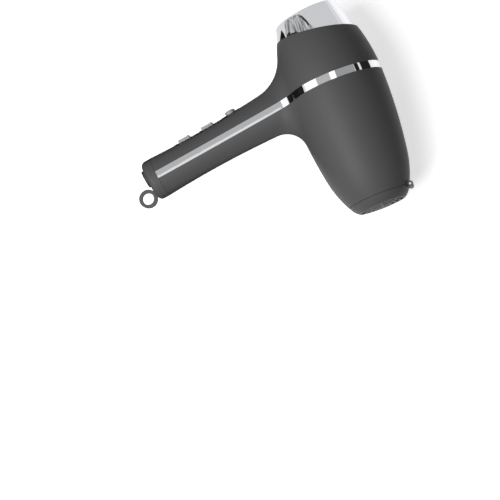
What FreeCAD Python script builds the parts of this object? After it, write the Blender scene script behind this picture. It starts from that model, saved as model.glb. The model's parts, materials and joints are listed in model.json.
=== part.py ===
"""Hand-held hair dryer with a fixed handle, lying on its right side on a table.

The barrel and the handle are one smooth outer form, split into a front shell and a rear shell.
A chromed frame fills the split: it rings the barrel and runs down both sides of the handle.
A chromed cone at the front carries the air outlet, and a hinged filter cap closes the rear.

Everything is built in the dryer's own axes, in millimetres:
    X  along the barrel axis, towards the air outlet, 0 at the middle of the chromed ring
    Y  to the dryer's left
    Z  up, away from the handle
Handle pieces are built in handle axes, whose origin is where the handle axis meets the barrel axis:
    F  forward, square to the handle axis      Y  left      S  down along the handle axis
At the end everything is laid on its right side, so that barrel and handle end touch the table.
"""

import FreeCAD, Part

import math
import os

from FreeCAD import Matrix, Vector

os.makedirs("parts", exist_ok=True)

# ---------------------------------------------------------------- driving dimensions

# Barrel: four tangent arcs, from the rear opening to just past the mouth behind the chromed cone.
BELLY_X = -2.0  # where the barrel is widest
BELLY_R = 39.9
FRONT_ARC_R = 140.0
SHOULDER_X = 34.0  # where the front arc turns into the tighter shoulder
SHOULDER_ARC_R = 95.0
REAR_ARC_R = 420.0
TAIL_X = -70.0  # where the rear arc turns into the tail
TAIL_ARC_R = 92.0
TAIL_SLOPE = 27.1  # degrees, at the rear opening
MOUTH_X = 41.8  # the raked mouth plane on the barrel axis
MOUTH_RAKE = 9.5  # degrees, the mouth leans back at the top
MOUTH_LIP = 1.1  # the barrel's outline stands this far outside the cone at the mouth
MOUTH_ROUND = 0.7
WALL = 2.2  # shells

# Handle: ellipses along its axis, (share of its length, half depth, half width).
HANDLE_X = 3.8  # where the handle axis meets the barrel axis
HANDLE_LEAN = 7.0  # degrees, the handle's end leans to the rear
HANDLE_END = 158.0  # station where the shells end
HANDLE_ELLIPSES = [
    (0.0, 19.3, 15.4),
    (0.253, 19.3, 15.4),
    (0.367, 18.0, 14.6),
    (0.481, 16.9, 14.1),
    (0.665, 15.9, 13.8),
    (0.835, 15.9, 13.8),
    (1.0, 16.8, 14.5),
]
NECK_FRONT_R = 33.0  # blend between barrel and handle, in front
NECK_SIDE_R = 18.0  # and at the sides and behind

# Chromed frame between the shells.
BAND_WIDTH = 6.0
BAND_PROUD = 0.3
BAND_BEND_R = 200.0  # where the ring plane turns into the leaning handle plane
TONGUE_DEPTH = 1.2
TONGUE_REACH = 2.6  # how far the hidden tongue reaches under each shell
SEAM = 0.1

# Chromed cone and the sleeve in it.
CONE_REACH = 18.8  # in front of the mouth, on the axis
TIP_RAKE = 4.5  # degrees, the tip leans forward at the top
CONE_SEAT = 7.8  # behind the mouth
CONE_SLOPE = 0.27  # growth of radius per mm to the rear
CONE_WALL = 1.7
CONE_LIP_ROUND = 0.8
OUTLET_DEPTH = 6.4
SLEEVE_RECESS = 3.0  # the sleeve's front edge lies behind the cone's tip, on the axis
SLEEVE_WALL = 1.4
SLEEVE_SEAT = 4.0  # the sleeve's collar over the mica tube
COLLAR_WALL = 1.2
GRILLE_DEPTH = 3.0
GRILLE_BAR = 1.1
GRILLE_RIM = 2.0
GRILLE_HUB_R = 2.6
GRILLE_RINGS = 4
GRILLE_SPOKES = 6

# Heater.
MICA_TUBE_T = 0.5
MICA_TUBE_INSET = 1.9  # its front edge lies behind the mouth
MICA_GAP = 0.6  # between the sleeve's collar and the cone
MICA_BOARD_T = 0.8
MICA_TAB = 4.0
COIL_GAP = 7.3  # from the mica tube to the board's edge under the coil
TERMINAL_GAP = 5.3  # from the mica tube to the board's edge at the terminals
COIL_WIRE_R = 1.3
COIL_TURNS = 6  # of both coils together
COIL_PITCH = 5.0
COIL_BEND = 3.0
LEAD_HOLE_LENGTH = 5.5
LEAD_HOLE_HALF = 9.4
THERMOSTAT_SIZE = (9.0, 5.0, 3.0)
FUSE_R = 1.3
FUSE_LENGTH = 9.0

# Fan, motor and the duct that holds them.
DUCT_REAR_X = -69.5
DUCT_LENGTH = 51.5
DUCT_GAP = 0.8  # between the duct and the shell, at the duct's rear end
DUCT_WALL = 1.4
DUCT_FLANGE_T = 2.5
DUCT_RING_T = 2.5
VANES = 7
VANE_T = 1.3
VANE_LENGTH = 20.0
VANE_TILT = 18.0  # degrees
FAN_INSET = 2.5  # behind the duct's rear end
FAN_LENGTH = 11.0
FAN_HUB_R = 14.6
FAN_HUB_WALL = 1.4
FAN_TIP_GAP = 0.8
FAN_BLADES = 9
FAN_BLADE_T = 1.5
FAN_PITCH = 40.0  # degrees
MOTOR_GAP = 3.0  # between fan and motor
MOTOR_R = 13.85
MOTOR_LENGTH = 32.0
MOTOR_CAN_T = 0.9
MOTOR_CAP_T = 2.4
MOTOR_SCREW_PCR = 8.0
POCKET_WALL = 1.5
SHAFT_R = 1.15
BUSH_R = 3.0
BUSH_LENGTH = 4.0
MAGNET_T = 2.6
MAGNET_INSET = (5.5, 8.5)  # from the motor's rear and front ends
ARMATURE_GAP = 0.9  # between magnets and armature
ARMATURE_INSET = (7.0, 11.0)
COMMUTATOR_R = 3.6
POLES = 5
SLOT_R = 1.9

# Rear opening, finger guard and hinged filter cap.
INTAKE_LIP = 3.9  # from the opening to the shell's rear edge
GUARD_INSET = 17.0  # from the rear edge
GUARD_DEPTH = 2.6
CAP_DEPTH = 7.0
CAP_SHOULDER = 6.0  # the crowned face is this much smaller in radius than the rear edge
CAP_DOME = 1.4
CAP_WALL = 1.8
CAP_SLOT = 2.2
CAP_RIB = 1.7
CAP_SLOT_RINGS = 4
CAP_RIBS = 8
SPIGOT_REACH = 3.0
MESH_T = 0.4
MESH_INSET = 3.2  # in the cap, from its front edge
MESH_HOLE_R = 0.9
MESH_PITCH = 2.6
HINGE_RISE = 1.0  # hinge pin above the shell's rear edge
HINGE_R = 2.3
HINGE_PIN_R = 0.9
HINGE_HALF = 9.0
HINGE_CENTRE_HALF = 4.0

# Switches in the front of the handle, placed from its end upwards.
PANEL_END = 22.0  # from the handle's end
PANEL_HALF = 7.4
PANEL_PROUD = 0.3
PANEL_BACK_F = 11.2
TRACK_F = 14.0  # floor of the sliders' tracks
TRACK_HALF = 4.7
TRACK_SPACING = 2.2  # between tracks, and from the lower track to the panel's end twice that
PAD_LENGTH = 10.0
PAD_RISE = 3.9  # from the track's floor
PAD_GAP = 0.4  # at both ends of a track
SLIDE_TRAVEL = 8.0
STEM_HALF = 1.3
STEM_LENGTH = 4.0
LEVER_HALF = 2.6
LEVER_LENGTH = 7.0
COOL_SPACING = 8.0  # from the upper track to the button's middle, and on to the panel's end
COOL_R = 4.2
COOL_RISE = 1.9
COOL_TRAVEL = 1.5
BOARD_FRONT_F = -1.0
BOARD_T = 1.6
BOARD_HALF = 9.0
SWITCH_TOP_F = 7.0
SWITCH_HALF = 5.5
SPRING_WIRE_R = 0.3
SPRING_R = 2.5
SPRING_TURNS = 4

# Handle end.
END_CAP_LENGTH = 9.0
END_CAP_ROUND = 4.5
END_CAP_WALL = 1.8
PLUG_LENGTH = 6.0
GLAND_R = 5.6
GLAND_FLANGE_R = 7.2
GLAND_FLANGE_T = 2.0
GLAND_F = 3.5  # in front of the handle axis, clear of the loop
CORD_R = 3.4  # the cord that the gland takes
LOOP_PIN_R = 1.1
LOOP_PIN_F = -11.3
LOOP_T = 3.0
LOOP_R = 7.5
LOOP_HOLE_R = 4.7
LOOP_EYE_R = 2.9

# Fasteners and leads.
SCREW_R = 1.4
SCREW_HEAD_R = 2.7
SCREW_HEAD_T = 1.9
BOSS_R = 3.5
SCREW_SPACING = 7.5  # from the switch panel's upper end
SCREW_END = 17.0  # from the handle's end
HEAD_F = -9.0  # where the heads of the housing screws seat
CLAMP_END = 9.0  # from the handle's end
CLAMP_HALF = 8.6
CLAMP_SCREW_Y = 6.6
LEAD_R = 0.8
LEAD_BEND = 2.0

# Rest.
REST_X = -19.5  # where the barrel touches the table, under the centre of mass

# Clearances.
FIT = 0.15  # still joints
RUN = 0.05  # radial, pins and shafts that turn
SLIDE = 0.3  # pieces that slide past each other
BIG = 200.0  # larger than the dryer

# ---------------------------------------------------------------- small helpers


def cyl_x(r, x0, x1, y=0.0, z=0.0):
    """Cylinder along X."""
    return Part.makeCylinder(r, x1 - x0, Vector(x0, y, z), Vector(1, 0, 0))


def ring_x(r_out, r_in, x0, x1):
    """Tube along X, around the barrel axis."""
    return cyl_x(r_out, x0, x1).cut(cyl_x(r_in, x0 - 1, x1 + 1))


def spin_x(points):
    """Solid of revolution about X, from (x, r) corners."""
    wire = Part.makePolygon([Vector(x, 0, r) for x, r in points + points[:1]])
    return Part.Face(wire).revolve(Vector(), Vector(1, 0, 0), 360)


def box(x0, x1, y0, y1, z0, z1):
    """Box between two corners."""
    return Part.makeBox(x1 - x0, y1 - y0, z1 - z0, Vector(x0, y0, z0))


def turned_x(shape, degrees):
    """Copy turned about the barrel axis."""
    turned = shape.copy()
    turned.rotate(Vector(), Vector(1, 0, 0), degrees)
    return turned


def around_x(shape, count):
    """Copies spaced evenly about the barrel axis."""
    return [turned_x(shape, 360.0 * i / count) for i in range(count)]


def joined(shapes):
    """One solid from overlapping shapes."""
    first, *rest = shapes
    return first.fuse(rest).removeSplitter() if rest else first


def group(shapes):
    """Several separate solids in one node."""
    return Part.makeCompound(shapes)


def from_handle(shape):
    """Moves a shape from handle axes (F, Y, up) to the dryer's axes."""
    placed = shape.copy()
    placed.rotate(Vector(), Vector(0, 1, 0), HANDLE_LEAN)
    placed.translate(Vector(HANDLE_X, 0, 0))
    return placed


def hbox(f0, f1, y0, y1, s0, s1):
    """Box in handle axes, between stations s0 and s1."""
    return box(f0, f1, y0, y1, -s1, -s0)


def hcyl_f(r, f0, f1, s, y=0.0):
    """Cylinder along F in handle axes."""
    return Part.makeCylinder(r, f1 - f0, Vector(f0, y, -s), Vector(1, 0, 0))


def hcyl_y(r, y0, y1, f, s):
    """Cylinder along Y in handle axes."""
    return Part.makeCylinder(r, y1 - y0, Vector(f, y0, -s), Vector(0, 1, 0))


def hcyl_s(r, s0, s1, f=0.0, y=0.0):
    """Cylinder along the handle axis, from station s0 to s1."""
    return Part.makeCylinder(r, s1 - s0, Vector(f, y, -s1), Vector(0, 0, 1))


def pipe(points, radius, bend):
    """Round wire along straight runs joined by tangent arcs."""
    corners = [Vector(*p) for p in points]
    edges = []
    start = corners[0]
    for before, corner, after in zip(corners, corners[1:], corners[2:]):
        back = (before - corner).normalize()
        on = (after - corner).normalize()
        half = back.getAngle(on) / 2
        reach = bend / math.tan(half)
        middle = (back + on).normalize() * (bend / math.sin(half) - bend)
        a, b = corner + back * reach, corner + on * reach
        edges.append(Part.LineSegment(start, a).toShape())
        edges.append(Part.Arc(a, corner + middle, b).toShape())
        start = b
    edges.append(Part.LineSegment(start, corners[-1]).toShape())
    path = Part.Wire(edges)
    section = Part.Wire(
        Part.Circle(corners[0], corners[1] - corners[0], radius).toShape()
    )
    return path.makePipeShell([section], True, False)


# ---------------------------------------------------------------- outer form

DOCUMENT = FreeCAD.newDocument("dryer")


def arc_point(centre, rho, slope):
    """Point of an arc in the XZ plane, where the outline falls by that slope towards +X."""
    return Vector(centre.x + rho * math.sin(slope), 0, centre.z + rho * math.cos(slope))


def barrel_arcs(inset):
    """The outline's arcs from rear to front, as (centre, radius, first slope, last slope)."""
    front_x = MOUTH_X + BELLY_R * math.tan(math.radians(MOUTH_RAKE))  # past the raked mouth
    rear_slope = math.asin((TAIL_X - BELLY_X) / REAR_ARC_R)
    front_slope = math.asin((SHOULDER_X - BELLY_X) / FRONT_ARC_R)
    rear = Vector(BELLY_X, 0, BELLY_R - REAR_ARC_R)
    front = Vector(BELLY_X, 0, BELLY_R - FRONT_ARC_R)
    tail = arc_point(rear, REAR_ARC_R - TAIL_ARC_R, rear_slope)
    shoulder = arc_point(front, FRONT_ARC_R - SHOULDER_ARC_R, front_slope)
    end_slope = math.asin((front_x - shoulder.x) / SHOULDER_ARC_R)
    return [
        (tail, TAIL_ARC_R - inset, -math.radians(TAIL_SLOPE), rear_slope),
        (rear, REAR_ARC_R - inset, rear_slope, 0.0),
        (front, FRONT_ARC_R - inset, 0.0, front_slope),
        (shoulder, SHOULDER_ARC_R - inset, front_slope, end_slope),
    ]


def barrel_r(x, inset=0.0):
    """Radius of the barrel's outline at x."""
    arcs = barrel_arcs(inset)
    centre, rho = next(a[:2] for a in arcs if x <= arc_point(a[0], a[1], a[3]).x or a is arcs[-1])
    return centre.z + math.sqrt(rho**2 - (x - centre.x) ** 2)


def barrel(inset):
    """The barrel as a solid of revolution."""
    edges = []
    for centre, rho, first, last in barrel_arcs(inset):
        a, m, b = (arc_point(centre, rho, s) for s in (first, (first + last) / 2, last))
        edges.append(Part.Arc(a, m, b).toShape())
    rear, front = edges[0].Vertexes[0].Point, edges[-1].Vertexes[-1].Point
    on_axis = [Vector(front.x, 0, 0), Vector(rear.x, 0, 0)]
    edges.append(Part.makePolygon([front, *on_axis, rear]))
    return Part.Face(Part.Wire(edges)).revolve(Vector(), Vector(1, 0, 0), 360)


def handle(inset):
    """The handle as a smooth loft through its ellipses."""
    wires = [
        Part.Wire(Part.Ellipse(Vector(0, 0, -share * HANDLE_END), a - inset, b - inset).toShape())
        for share, a, b in HANDLE_ELLIPSES
    ]
    return from_handle(Part.makeLoft(wires, True, False))


def form(inset):
    """Barrel and handle joined by a blend that is wider in front."""
    plain = barrel(inset).fuse(handle(inset))
    base = DOCUMENT.addObject("Part::Feature", "Plain")
    base.Shape = plain
    blend = DOCUMENT.addObject("Part::Fillet", "Neck")
    blend.Base = base
    neck = []
    for number, edge in enumerate(plain.Edges, 1):
        bounds = edge.BoundBox
        is_neck = bounds.ZMax > -BELLY_R and bounds.ZMax < -BELLY_R / 2
        if is_neck and edge.Curve.TypeId == "Part::GeomBSplineCurve" and bounds.ZLength < BELLY_R / 2:
            ends = [edge.valueAt(edge.FirstParameter), edge.valueAt(edge.LastParameter)]
            radii = [
                inset + (NECK_FRONT_R if abs(p.y) < 1 and p.x > HANDLE_X else NECK_SIDE_R)
                for p in ends
            ]
            neck.append((number, *radii))
    blend.Edges = neck
    DOCUMENT.recompute()
    return blend.Shape.copy()


OUTER = form(0.0)
INNER = form(WALL)


def band_region(half, inner_side):
    """Everything in front of the frame's middle line by more than half, or behind it.

    The middle line is the ring plane above, a wide arc, then the handle axis below.
    """
    lean = math.radians(HANDLE_LEAN)
    bend_z = -HANDLE_X / math.tan(lean)
    reach = BAND_BEND_R * math.tan(lean / 2)
    rho = BAND_BEND_R + half * inner_side
    side = half * inner_side
    middle = Vector(-BAND_BEND_R, 0, bend_z + reach)
    top = Vector(side, 0, BIG)
    upper = Vector(side, 0, middle.z)
    mid = middle + Vector(math.cos(lean / 2), 0, -math.sin(lean / 2)) * rho
    lower = middle + Vector(math.cos(lean), 0, -math.sin(lean)) * rho
    down = Vector(-math.sin(lean), 0, -math.cos(lean))
    end = lower + down * BIG
    far_end = Vector(BIG * inner_side, 0, end.z)
    far_top = Vector(BIG * inner_side, 0, BIG)
    edges = [
        Part.LineSegment(top, upper).toShape(),
        Part.Arc(upper, mid, lower).toShape(),
        Part.LineSegment(lower, end).toShape(),
        Part.makePolygon([end, far_end, far_top, top]),
    ]
    face = Part.Face(Part.Wire(edges))
    face.translate(Vector(0, -BIG, 0))
    return face.extrude(Vector(0, 2 * BIG, 0))


def slab(half):
    """The space of the frame, that much either side of its middle line."""
    both = band_region(half, 1).fuse(band_region(half, -1))
    return box(-BIG + 1, BIG - 1, -BIG + 1, BIG - 1, -BIG + 1, BIG - 1).cut(both)


def behind(x, rake):
    """Half space behind a plane across the barrel that leans forward at the top, by degrees."""
    block = box(-2 * BIG, 0, -BIG, BIG, -BIG, BIG)
    block.rotate(Vector(), Vector(0, 1, 0), rake)
    block.translate(Vector(x, 0, 0))
    return block


def rim_edges(solid, x, rake):
    """The edges of a solid that lie in such a plane."""
    lean = math.radians(rake)
    centre, normal = Vector(x, 0, 0), Vector(math.cos(lean), 0, -math.sin(lean))
    return [
        e for e in solid.Edges
        if all(
            abs((e.valueAt(t) - centre).dot(normal)) < 0.01
            for t in (e.FirstParameter, (e.FirstParameter + e.LastParameter) / 2)
        )
    ]


CONE_TIP_X = MOUTH_X + CONE_REACH
CONE_BACK_X = MOUTH_X - CONE_SEAT


def cone_r(x):
    """Outer radius of the chromed cone."""
    return barrel_r(MOUTH_X) - MOUTH_LIP + (MOUTH_X - x) * CONE_SLOPE


CONE_TOP_X = CONE_TIP_X + cone_r(CONE_TIP_X) * math.tan(math.radians(TIP_RAKE))


def cone_space():
    """The cone with its clearance, which the front shell's mouth fits."""
    tip = CONE_TOP_X + 5
    corners = [
        (CONE_BACK_X - FIT, 0),
        (CONE_BACK_X - FIT, cone_r(CONE_BACK_X) + FIT),
        (tip, cone_r(tip) + FIT),
        (tip, 0),
    ]
    return spin_x(corners)


FRONT_SIDE = band_region(BAND_WIDTH / 2 + SEAM, 1)
REAR_SIDE = band_region(BAND_WIDTH / 2 + SEAM, -1)
MIDDLE = form(WALL / 2)  # ribs and bosses end inside the wall
NODES = {}

# ---------------------------------------------------------------- chromed frame and cone

frame_bar = form(-BAND_PROUD).cut(form(WALL + TONGUE_DEPTH)).common(slab(BAND_WIDTH / 2))
tongue = form(WALL + FIT).cut(form(WALL + TONGUE_DEPTH)).common(slab(BAND_WIDTH / 2 + TONGUE_REACH))
NODES["trim_frame"] = frame_bar.fuse(tongue)

cone_inner = CONE_WALL / math.cos(math.atan(CONE_SLOPE))
cone = spin_x(
    [
        (CONE_BACK_X, cone_r(CONE_BACK_X)),
        (CONE_TOP_X + 1, cone_r(CONE_TOP_X + 1)),
        (CONE_TOP_X + 1, cone_r(CONE_TOP_X + 1) - cone_inner),
        (CONE_BACK_X, cone_r(CONE_BACK_X) - cone_inner),
    ]
).common(behind(CONE_TIP_X, TIP_RAKE))
NODES["outlet_cone"] = cone.makeFillet(CONE_LIP_ROUND, rim_edges(cone, CONE_TIP_X, TIP_RAKE))

# ---------------------------------------------------------------- outlet sleeve and grille

MICA_TUBE_FRONT_X = MOUTH_X - MICA_TUBE_INSET
SLEEVE_FRONT_X = CONE_TIP_X - SLEEVE_RECESS
SLEEVE_R = cone_r(SLEEVE_FRONT_X) - cone_inner - FIT
OUTLET_R = SLEEVE_R - SLEEVE_WALL
GRILLE_X = SLEEVE_FRONT_X - OUTLET_DEPTH - GRILLE_DEPTH
step_x = MICA_TUBE_FRONT_X + FIT
collar_r = cone_r(step_x) - cone_inner - MICA_GAP
tube_out = collar_r - COLLAR_WALL
MICA_TUBE_R = tube_out - MICA_TUBE_T
shoulder_x = GRILLE_X + GRILLE_DEPTH
grille_r = OUTLET_R + 0.8  # the grille goes in from behind, against a shoulder
NODES["outlet_sleeve"] = joined(
    [
        ring_x(SLEEVE_R, OUTLET_R, shoulder_x, SLEEVE_FRONT_X),
        ring_x(grille_r + SLEEVE_WALL, OUTLET_R, shoulder_x, shoulder_x + SLEEVE_WALL),
        ring_x(grille_r + SLEEVE_WALL, grille_r + FIT, step_x, shoulder_x + 0.1),
        ring_x(collar_r, grille_r + FIT, step_x, step_x + SLEEVE_WALL),
        ring_x(collar_r, tube_out + FIT, MICA_TUBE_FRONT_X - SLEEVE_SEAT, step_x + 0.1),
    ]
)


def wheel_grille(rim_out, rim_in, hub_r, rings, spokes, bar, x0, x1):
    """Concentric rings on radial bars, inside a rim."""
    pitch = (rim_in - hub_r) / (rings + 1)
    parts = [ring_x(rim_out, rim_in, x0, x1), cyl_x(hub_r, x0, x1)]
    for i in range(1, rings + 1):
        middle = hub_r + pitch * i
        parts.append(ring_x(middle + bar / 2, middle - bar / 2, x0, x1))
    parts += around_x(box(x0, x1, -bar / 2, bar / 2, 0, (rim_out + rim_in) / 2), spokes)
    return joined(parts)


NODES["outlet_grille"] = wheel_grille(
    grille_r, grille_r - GRILLE_RIM, GRILLE_HUB_R, GRILLE_RINGS, GRILLE_SPOKES, GRILLE_BAR,
    GRILLE_X, shoulder_x - 0.05,
)

# ---------------------------------------------------------------- heater

DUCT_FRONT_X = DUCT_REAR_X + DUCT_LENGTH
MICA_TUBE_REAR_X = DUCT_FRONT_X - DUCT_RING_T + 0.3
hole_x = DUCT_FRONT_X + 3.5, DUCT_FRONT_X + 3.5 + LEAD_HOLE_LENGTH
NODES["heater_tube"] = ring_x(tube_out, MICA_TUBE_R, MICA_TUBE_REAR_X, MICA_TUBE_FRONT_X).cut(
    box(*hole_x, -LEAD_HOLE_HALF, LEAD_HOLE_HALF, -BIG, 0)
)

BOARD_REAR_X = DUCT_FRONT_X + 3.0
BOARD_FRONT_X = MICA_TUBE_FRONT_X - 1.0
COIL_X0 = BOARD_FRONT_X - MICA_TAB - 2.0 - COIL_TURNS * COIL_PITCH
COIL_BOARD_R = MICA_TUBE_R - COIL_GAP
TERMINAL_R = MICA_TUBE_R - TERMINAL_GAP
coil_ends = COIL_X0 - 3.0, BOARD_FRONT_X - MICA_TAB
tab_r = MICA_TUBE_R - FIT
half_board = [
    (BOARD_REAR_X, tab_r),
    (BOARD_REAR_X + MICA_TAB, tab_r),
    (BOARD_REAR_X + MICA_TAB, TERMINAL_R),
    (coil_ends[0], TERMINAL_R),
    (coil_ends[0], COIL_BOARD_R),
    (coil_ends[1], COIL_BOARD_R),
    (coil_ends[1], tab_r),
    (BOARD_FRONT_X, tab_r),
]
board_outline = half_board + [(x, -r) for x, r in reversed(half_board)]
board_wire = Part.makePolygon([Vector(x, 0, r) for x, r in board_outline + board_outline[:1]])
mica_board = Part.Face(board_wire).extrude(Vector(0, MICA_BOARD_T, 0))
mica_board.translate(Vector(0, -MICA_BOARD_T / 2, 0))
board_middle = (BOARD_REAR_X + BOARD_FRONT_X) / 2
slot_half = MICA_BOARD_T / 2 + 0.05
NODES["heater_board_upright"] = mica_board.cut(
    box(board_middle, BIG, -BIG, BIG, -slot_half, slot_half)
)
NODES["heater_board_level"] = turned_x(mica_board, 90).cut(
    box(-BIG, board_middle, -slot_half, slot_half, -BIG, BIG)
)

coil_r = COIL_BOARD_R + COIL_WIRE_R + COIL_BEND * (math.sqrt(2) - 1) + 0.1
corners = []
for quarter in range(COIL_TURNS * 2 + 1):
    turn = math.pi / 2 * quarter
    along = COIL_X0 + COIL_PITCH / 2 * quarter
    corners.append((along, coil_r * math.sin(turn), coil_r * math.cos(turn)))
coil = pipe(corners, COIL_WIRE_R, COIL_BEND)
NODES["heating_coils"] = group([coil, turned_x(coil, 180)])

face_z = MICA_BOARD_T / 2 + 0.05
length, width, height = THERMOSTAT_SIZE
device_x = BOARD_REAR_X + MICA_TAB + 1.0
NODES["thermostat"] = joined(
    [
        box(device_x, device_x + length, 9.0, 9.0 + width, face_z, face_z + height),
        box(device_x - 2.5, device_x + length + 2.5, 10.5, 12.5, face_z, face_z + 0.4),
    ]
)
NODES["thermal_fuse"] = joined(
    [
        cyl_x(FUSE_R, device_x, device_x + FUSE_LENGTH, -13.0, face_z + FUSE_R),
        cyl_x(0.4, device_x - 3.5, device_x + FUSE_LENGTH + 3.5, -13.0, face_z + FUSE_R),
    ]
)

# ---------------------------------------------------------------- duct, fan and motor

FAN_REAR_X = DUCT_REAR_X + FAN_INSET
fan_front_x = FAN_REAR_X + FAN_LENGTH
MOTOR_REAR_X = fan_front_x + MOTOR_GAP
MOTOR_FRONT_X = MOTOR_REAR_X + MOTOR_LENGTH
DUCT_R = barrel_r(DUCT_REAR_X, WALL) - DUCT_GAP - DUCT_WALL
pocket_in = MOTOR_R + 0.1
pocket_out = pocket_in + POCKET_WALL
pocket_rear = MOTOR_REAR_X - 0.1
vane = box(0, VANE_LENGTH, -VANE_T / 2, VANE_T / 2, pocket_out - 0.3, DUCT_R + 0.3)
vane.translate(Vector(-VANE_LENGTH / 2, 0, 0))
vane.rotate(Vector(), Vector(0, 0, 1), VANE_TILT)
vane.translate(Vector(MOTOR_REAR_X + 4.0 + VANE_LENGTH / 2, 0, 0))
flange_r = barrel_r(DUCT_REAR_X, WALL) - FIT
fan_duct = joined(
    [
        ring_x(DUCT_R + DUCT_WALL, DUCT_R, DUCT_REAR_X, DUCT_FRONT_X),
        ring_x(flange_r, DUCT_R, DUCT_REAR_X, DUCT_REAR_X + DUCT_FLANGE_T),
        ring_x(DUCT_R + DUCT_WALL, tube_out + FIT, DUCT_FRONT_X - DUCT_RING_T, DUCT_FRONT_X),
        ring_x(pocket_out, pocket_in, pocket_rear - 1.4, MOTOR_FRONT_X - 4),
        ring_x(pocket_out, BUSH_R + 0.2, pocket_rear - 1.4, pocket_rear),
    ]
    + around_x(vane, VANES)
)
motor_screw = cyl_x(1.0, MOTOR_REAR_X - 1.6, MOTOR_REAR_X + 2.5, 0, MOTOR_SCREW_PCR).fuse(
    cyl_x(1.9, pocket_rear - 2.8, pocket_rear - 1.45, 0, MOTOR_SCREW_PCR)
)
motor_screw_hole = cyl_x(1.1, MOTOR_REAR_X - 2, MOTOR_REAR_X + 3, 0, MOTOR_SCREW_PCR)
NODES["fan_duct"] = fan_duct.cut(around_x(motor_screw_hole, 2))
NODES["motor_screws"] = group(around_x(motor_screw, 2))

NODES["motor_can"] = joined(
    [
        ring_x(MOTOR_R, MOTOR_R - MOTOR_CAN_T, MOTOR_REAR_X, MOTOR_FRONT_X - MOTOR_CAP_T),
        ring_x(MOTOR_R, BUSH_R + 0.02, MOTOR_REAR_X, MOTOR_REAR_X + MOTOR_CAN_T),
    ]
).cut(around_x(motor_screw_hole, 2))
rear_bush = ring_x(BUSH_R, SHAFT_R + RUN, MOTOR_REAR_X - 0.6, MOTOR_REAR_X - 0.6 + BUSH_LENGTH)
front_bush = ring_x(BUSH_R, SHAFT_R + RUN, MOTOR_FRONT_X + 0.6 - BUSH_LENGTH, MOTOR_FRONT_X + 0.6)
NODES["motor_bushes"] = group([rear_bush, front_bush])

brush_x0 = MOTOR_FRONT_X - MOTOR_CAP_T - 4.6
brush_x1 = brush_x0 + 3.0
brush_space = box(brush_x0, brush_x1, COMMUTATOR_R + 0.3, 12.0, -1.6, 1.6)
holder = box(brush_x0 - 0.8, MOTOR_FRONT_X - MOTOR_CAP_T + 0.1, 5.4, 12.4, -2.6, 2.6).cut(brush_space)
NODES["motor_end_cap"] = joined(
    [ring_x(MOTOR_R, BUSH_R + 0.02, MOTOR_FRONT_X - MOTOR_CAP_T + 0.02, MOTOR_FRONT_X)]
    + around_x(holder, 2)
)
brush = box(brush_x0 + 0.05, brush_x1 - 0.05, COMMUTATOR_R + 0.3, 10.5, -1.55, 1.55)
NODES["motor_brushes"] = group(around_x(brush, 2))

magnet_x = MOTOR_REAR_X + MAGNET_INSET[0], MOTOR_FRONT_X - MAGNET_INSET[1]
magnet_out = MOTOR_R - MOTOR_CAN_T - 0.05
NODES["motor_magnets"] = ring_x(magnet_out, magnet_out - MAGNET_T, *magnet_x).cut(
    box(-BIG, BIG, -BIG, BIG, -3.5, 3.5)
)

core_x = MOTOR_REAR_X + ARMATURE_INSET[0], MOTOR_FRONT_X - ARMATURE_INSET[1]
ARMATURE_R = magnet_out - MAGNET_T - ARMATURE_GAP
SLOT_PCR = ARMATURE_R - SLOT_R - 1.1
slot = joined(
    [
        cyl_x(SLOT_R, core_x[0] - 1, core_x[1] + 1, 0, SLOT_PCR),
        box(core_x[0] - 1, core_x[1] + 1, -0.5, 0.5, SLOT_PCR, BIG),
    ]
)
NODES["armature_core"] = ring_x(ARMATURE_R, SHAFT_R + 0.02, *core_x).cut(around_x(slot, POLES))
wire_bundle = cyl_x(SLOT_R - 0.1, core_x[0] - 2.2, core_x[1] + 2.2, 0, SLOT_PCR)
NODES["armature_windings"] = joined(
    [
        ring_x(SLOT_PCR + 1.6, SLOT_PCR - 2.6, core_x[0] - 2.6, core_x[0] - 0.05),
        ring_x(SLOT_PCR + 1.6, SLOT_PCR - 2.6, core_x[1] + 0.05, core_x[1] + 2.6),
    ]
    + around_x(wire_bundle, POLES)
)
NODES["commutator"] = ring_x(COMMUTATOR_R, SHAFT_R + 0.02, core_x[1] + 2.7, brush_x1 + 0.2)
NODES["motor_shaft"] = cyl_x(SHAFT_R, FAN_REAR_X + 1.2, MOTOR_FRONT_X + 1.5)

fan_hub = spin_x(
    [
        (FAN_REAR_X, 0),
        (FAN_REAR_X, FAN_HUB_R - 4.0),
        (FAN_REAR_X + 2.5, FAN_HUB_R),
        (fan_front_x, FAN_HUB_R),
        (fan_front_x, FAN_HUB_R - FAN_HUB_WALL),
        (FAN_REAR_X + 3.2, FAN_HUB_R - FAN_HUB_WALL),
        (FAN_REAR_X + FAN_HUB_WALL, FAN_HUB_R - 4.4),
        (FAN_REAR_X + FAN_HUB_WALL, 3.6),
        (fan_front_x - 1.0, 3.6),
        (fan_front_x - 1.0, 0),
    ]
)
blade = box(-12, 12, -FAN_BLADE_T / 2, FAN_BLADE_T / 2, FAN_HUB_R - 0.6, DUCT_R + 3)
blade.rotate(Vector(), Vector(0, 0, 1), FAN_PITCH)
blade.translate(Vector((FAN_REAR_X + fan_front_x) / 2 + 0.6, 0, 0))
blade_space = ring_x(DUCT_R - FAN_TIP_GAP, FAN_HUB_R - 0.7, FAN_REAR_X + 2.6, fan_front_x - 0.6)
NODES["fan"] = joined([fan_hub] + around_x(blade.common(blade_space), FAN_BLADES)).cut(
    cyl_x(SHAFT_R + 0.01, FAN_REAR_X + 1.1, BIG)
)

# ---------------------------------------------------------------- guard, filter cap and its hinge

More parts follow.
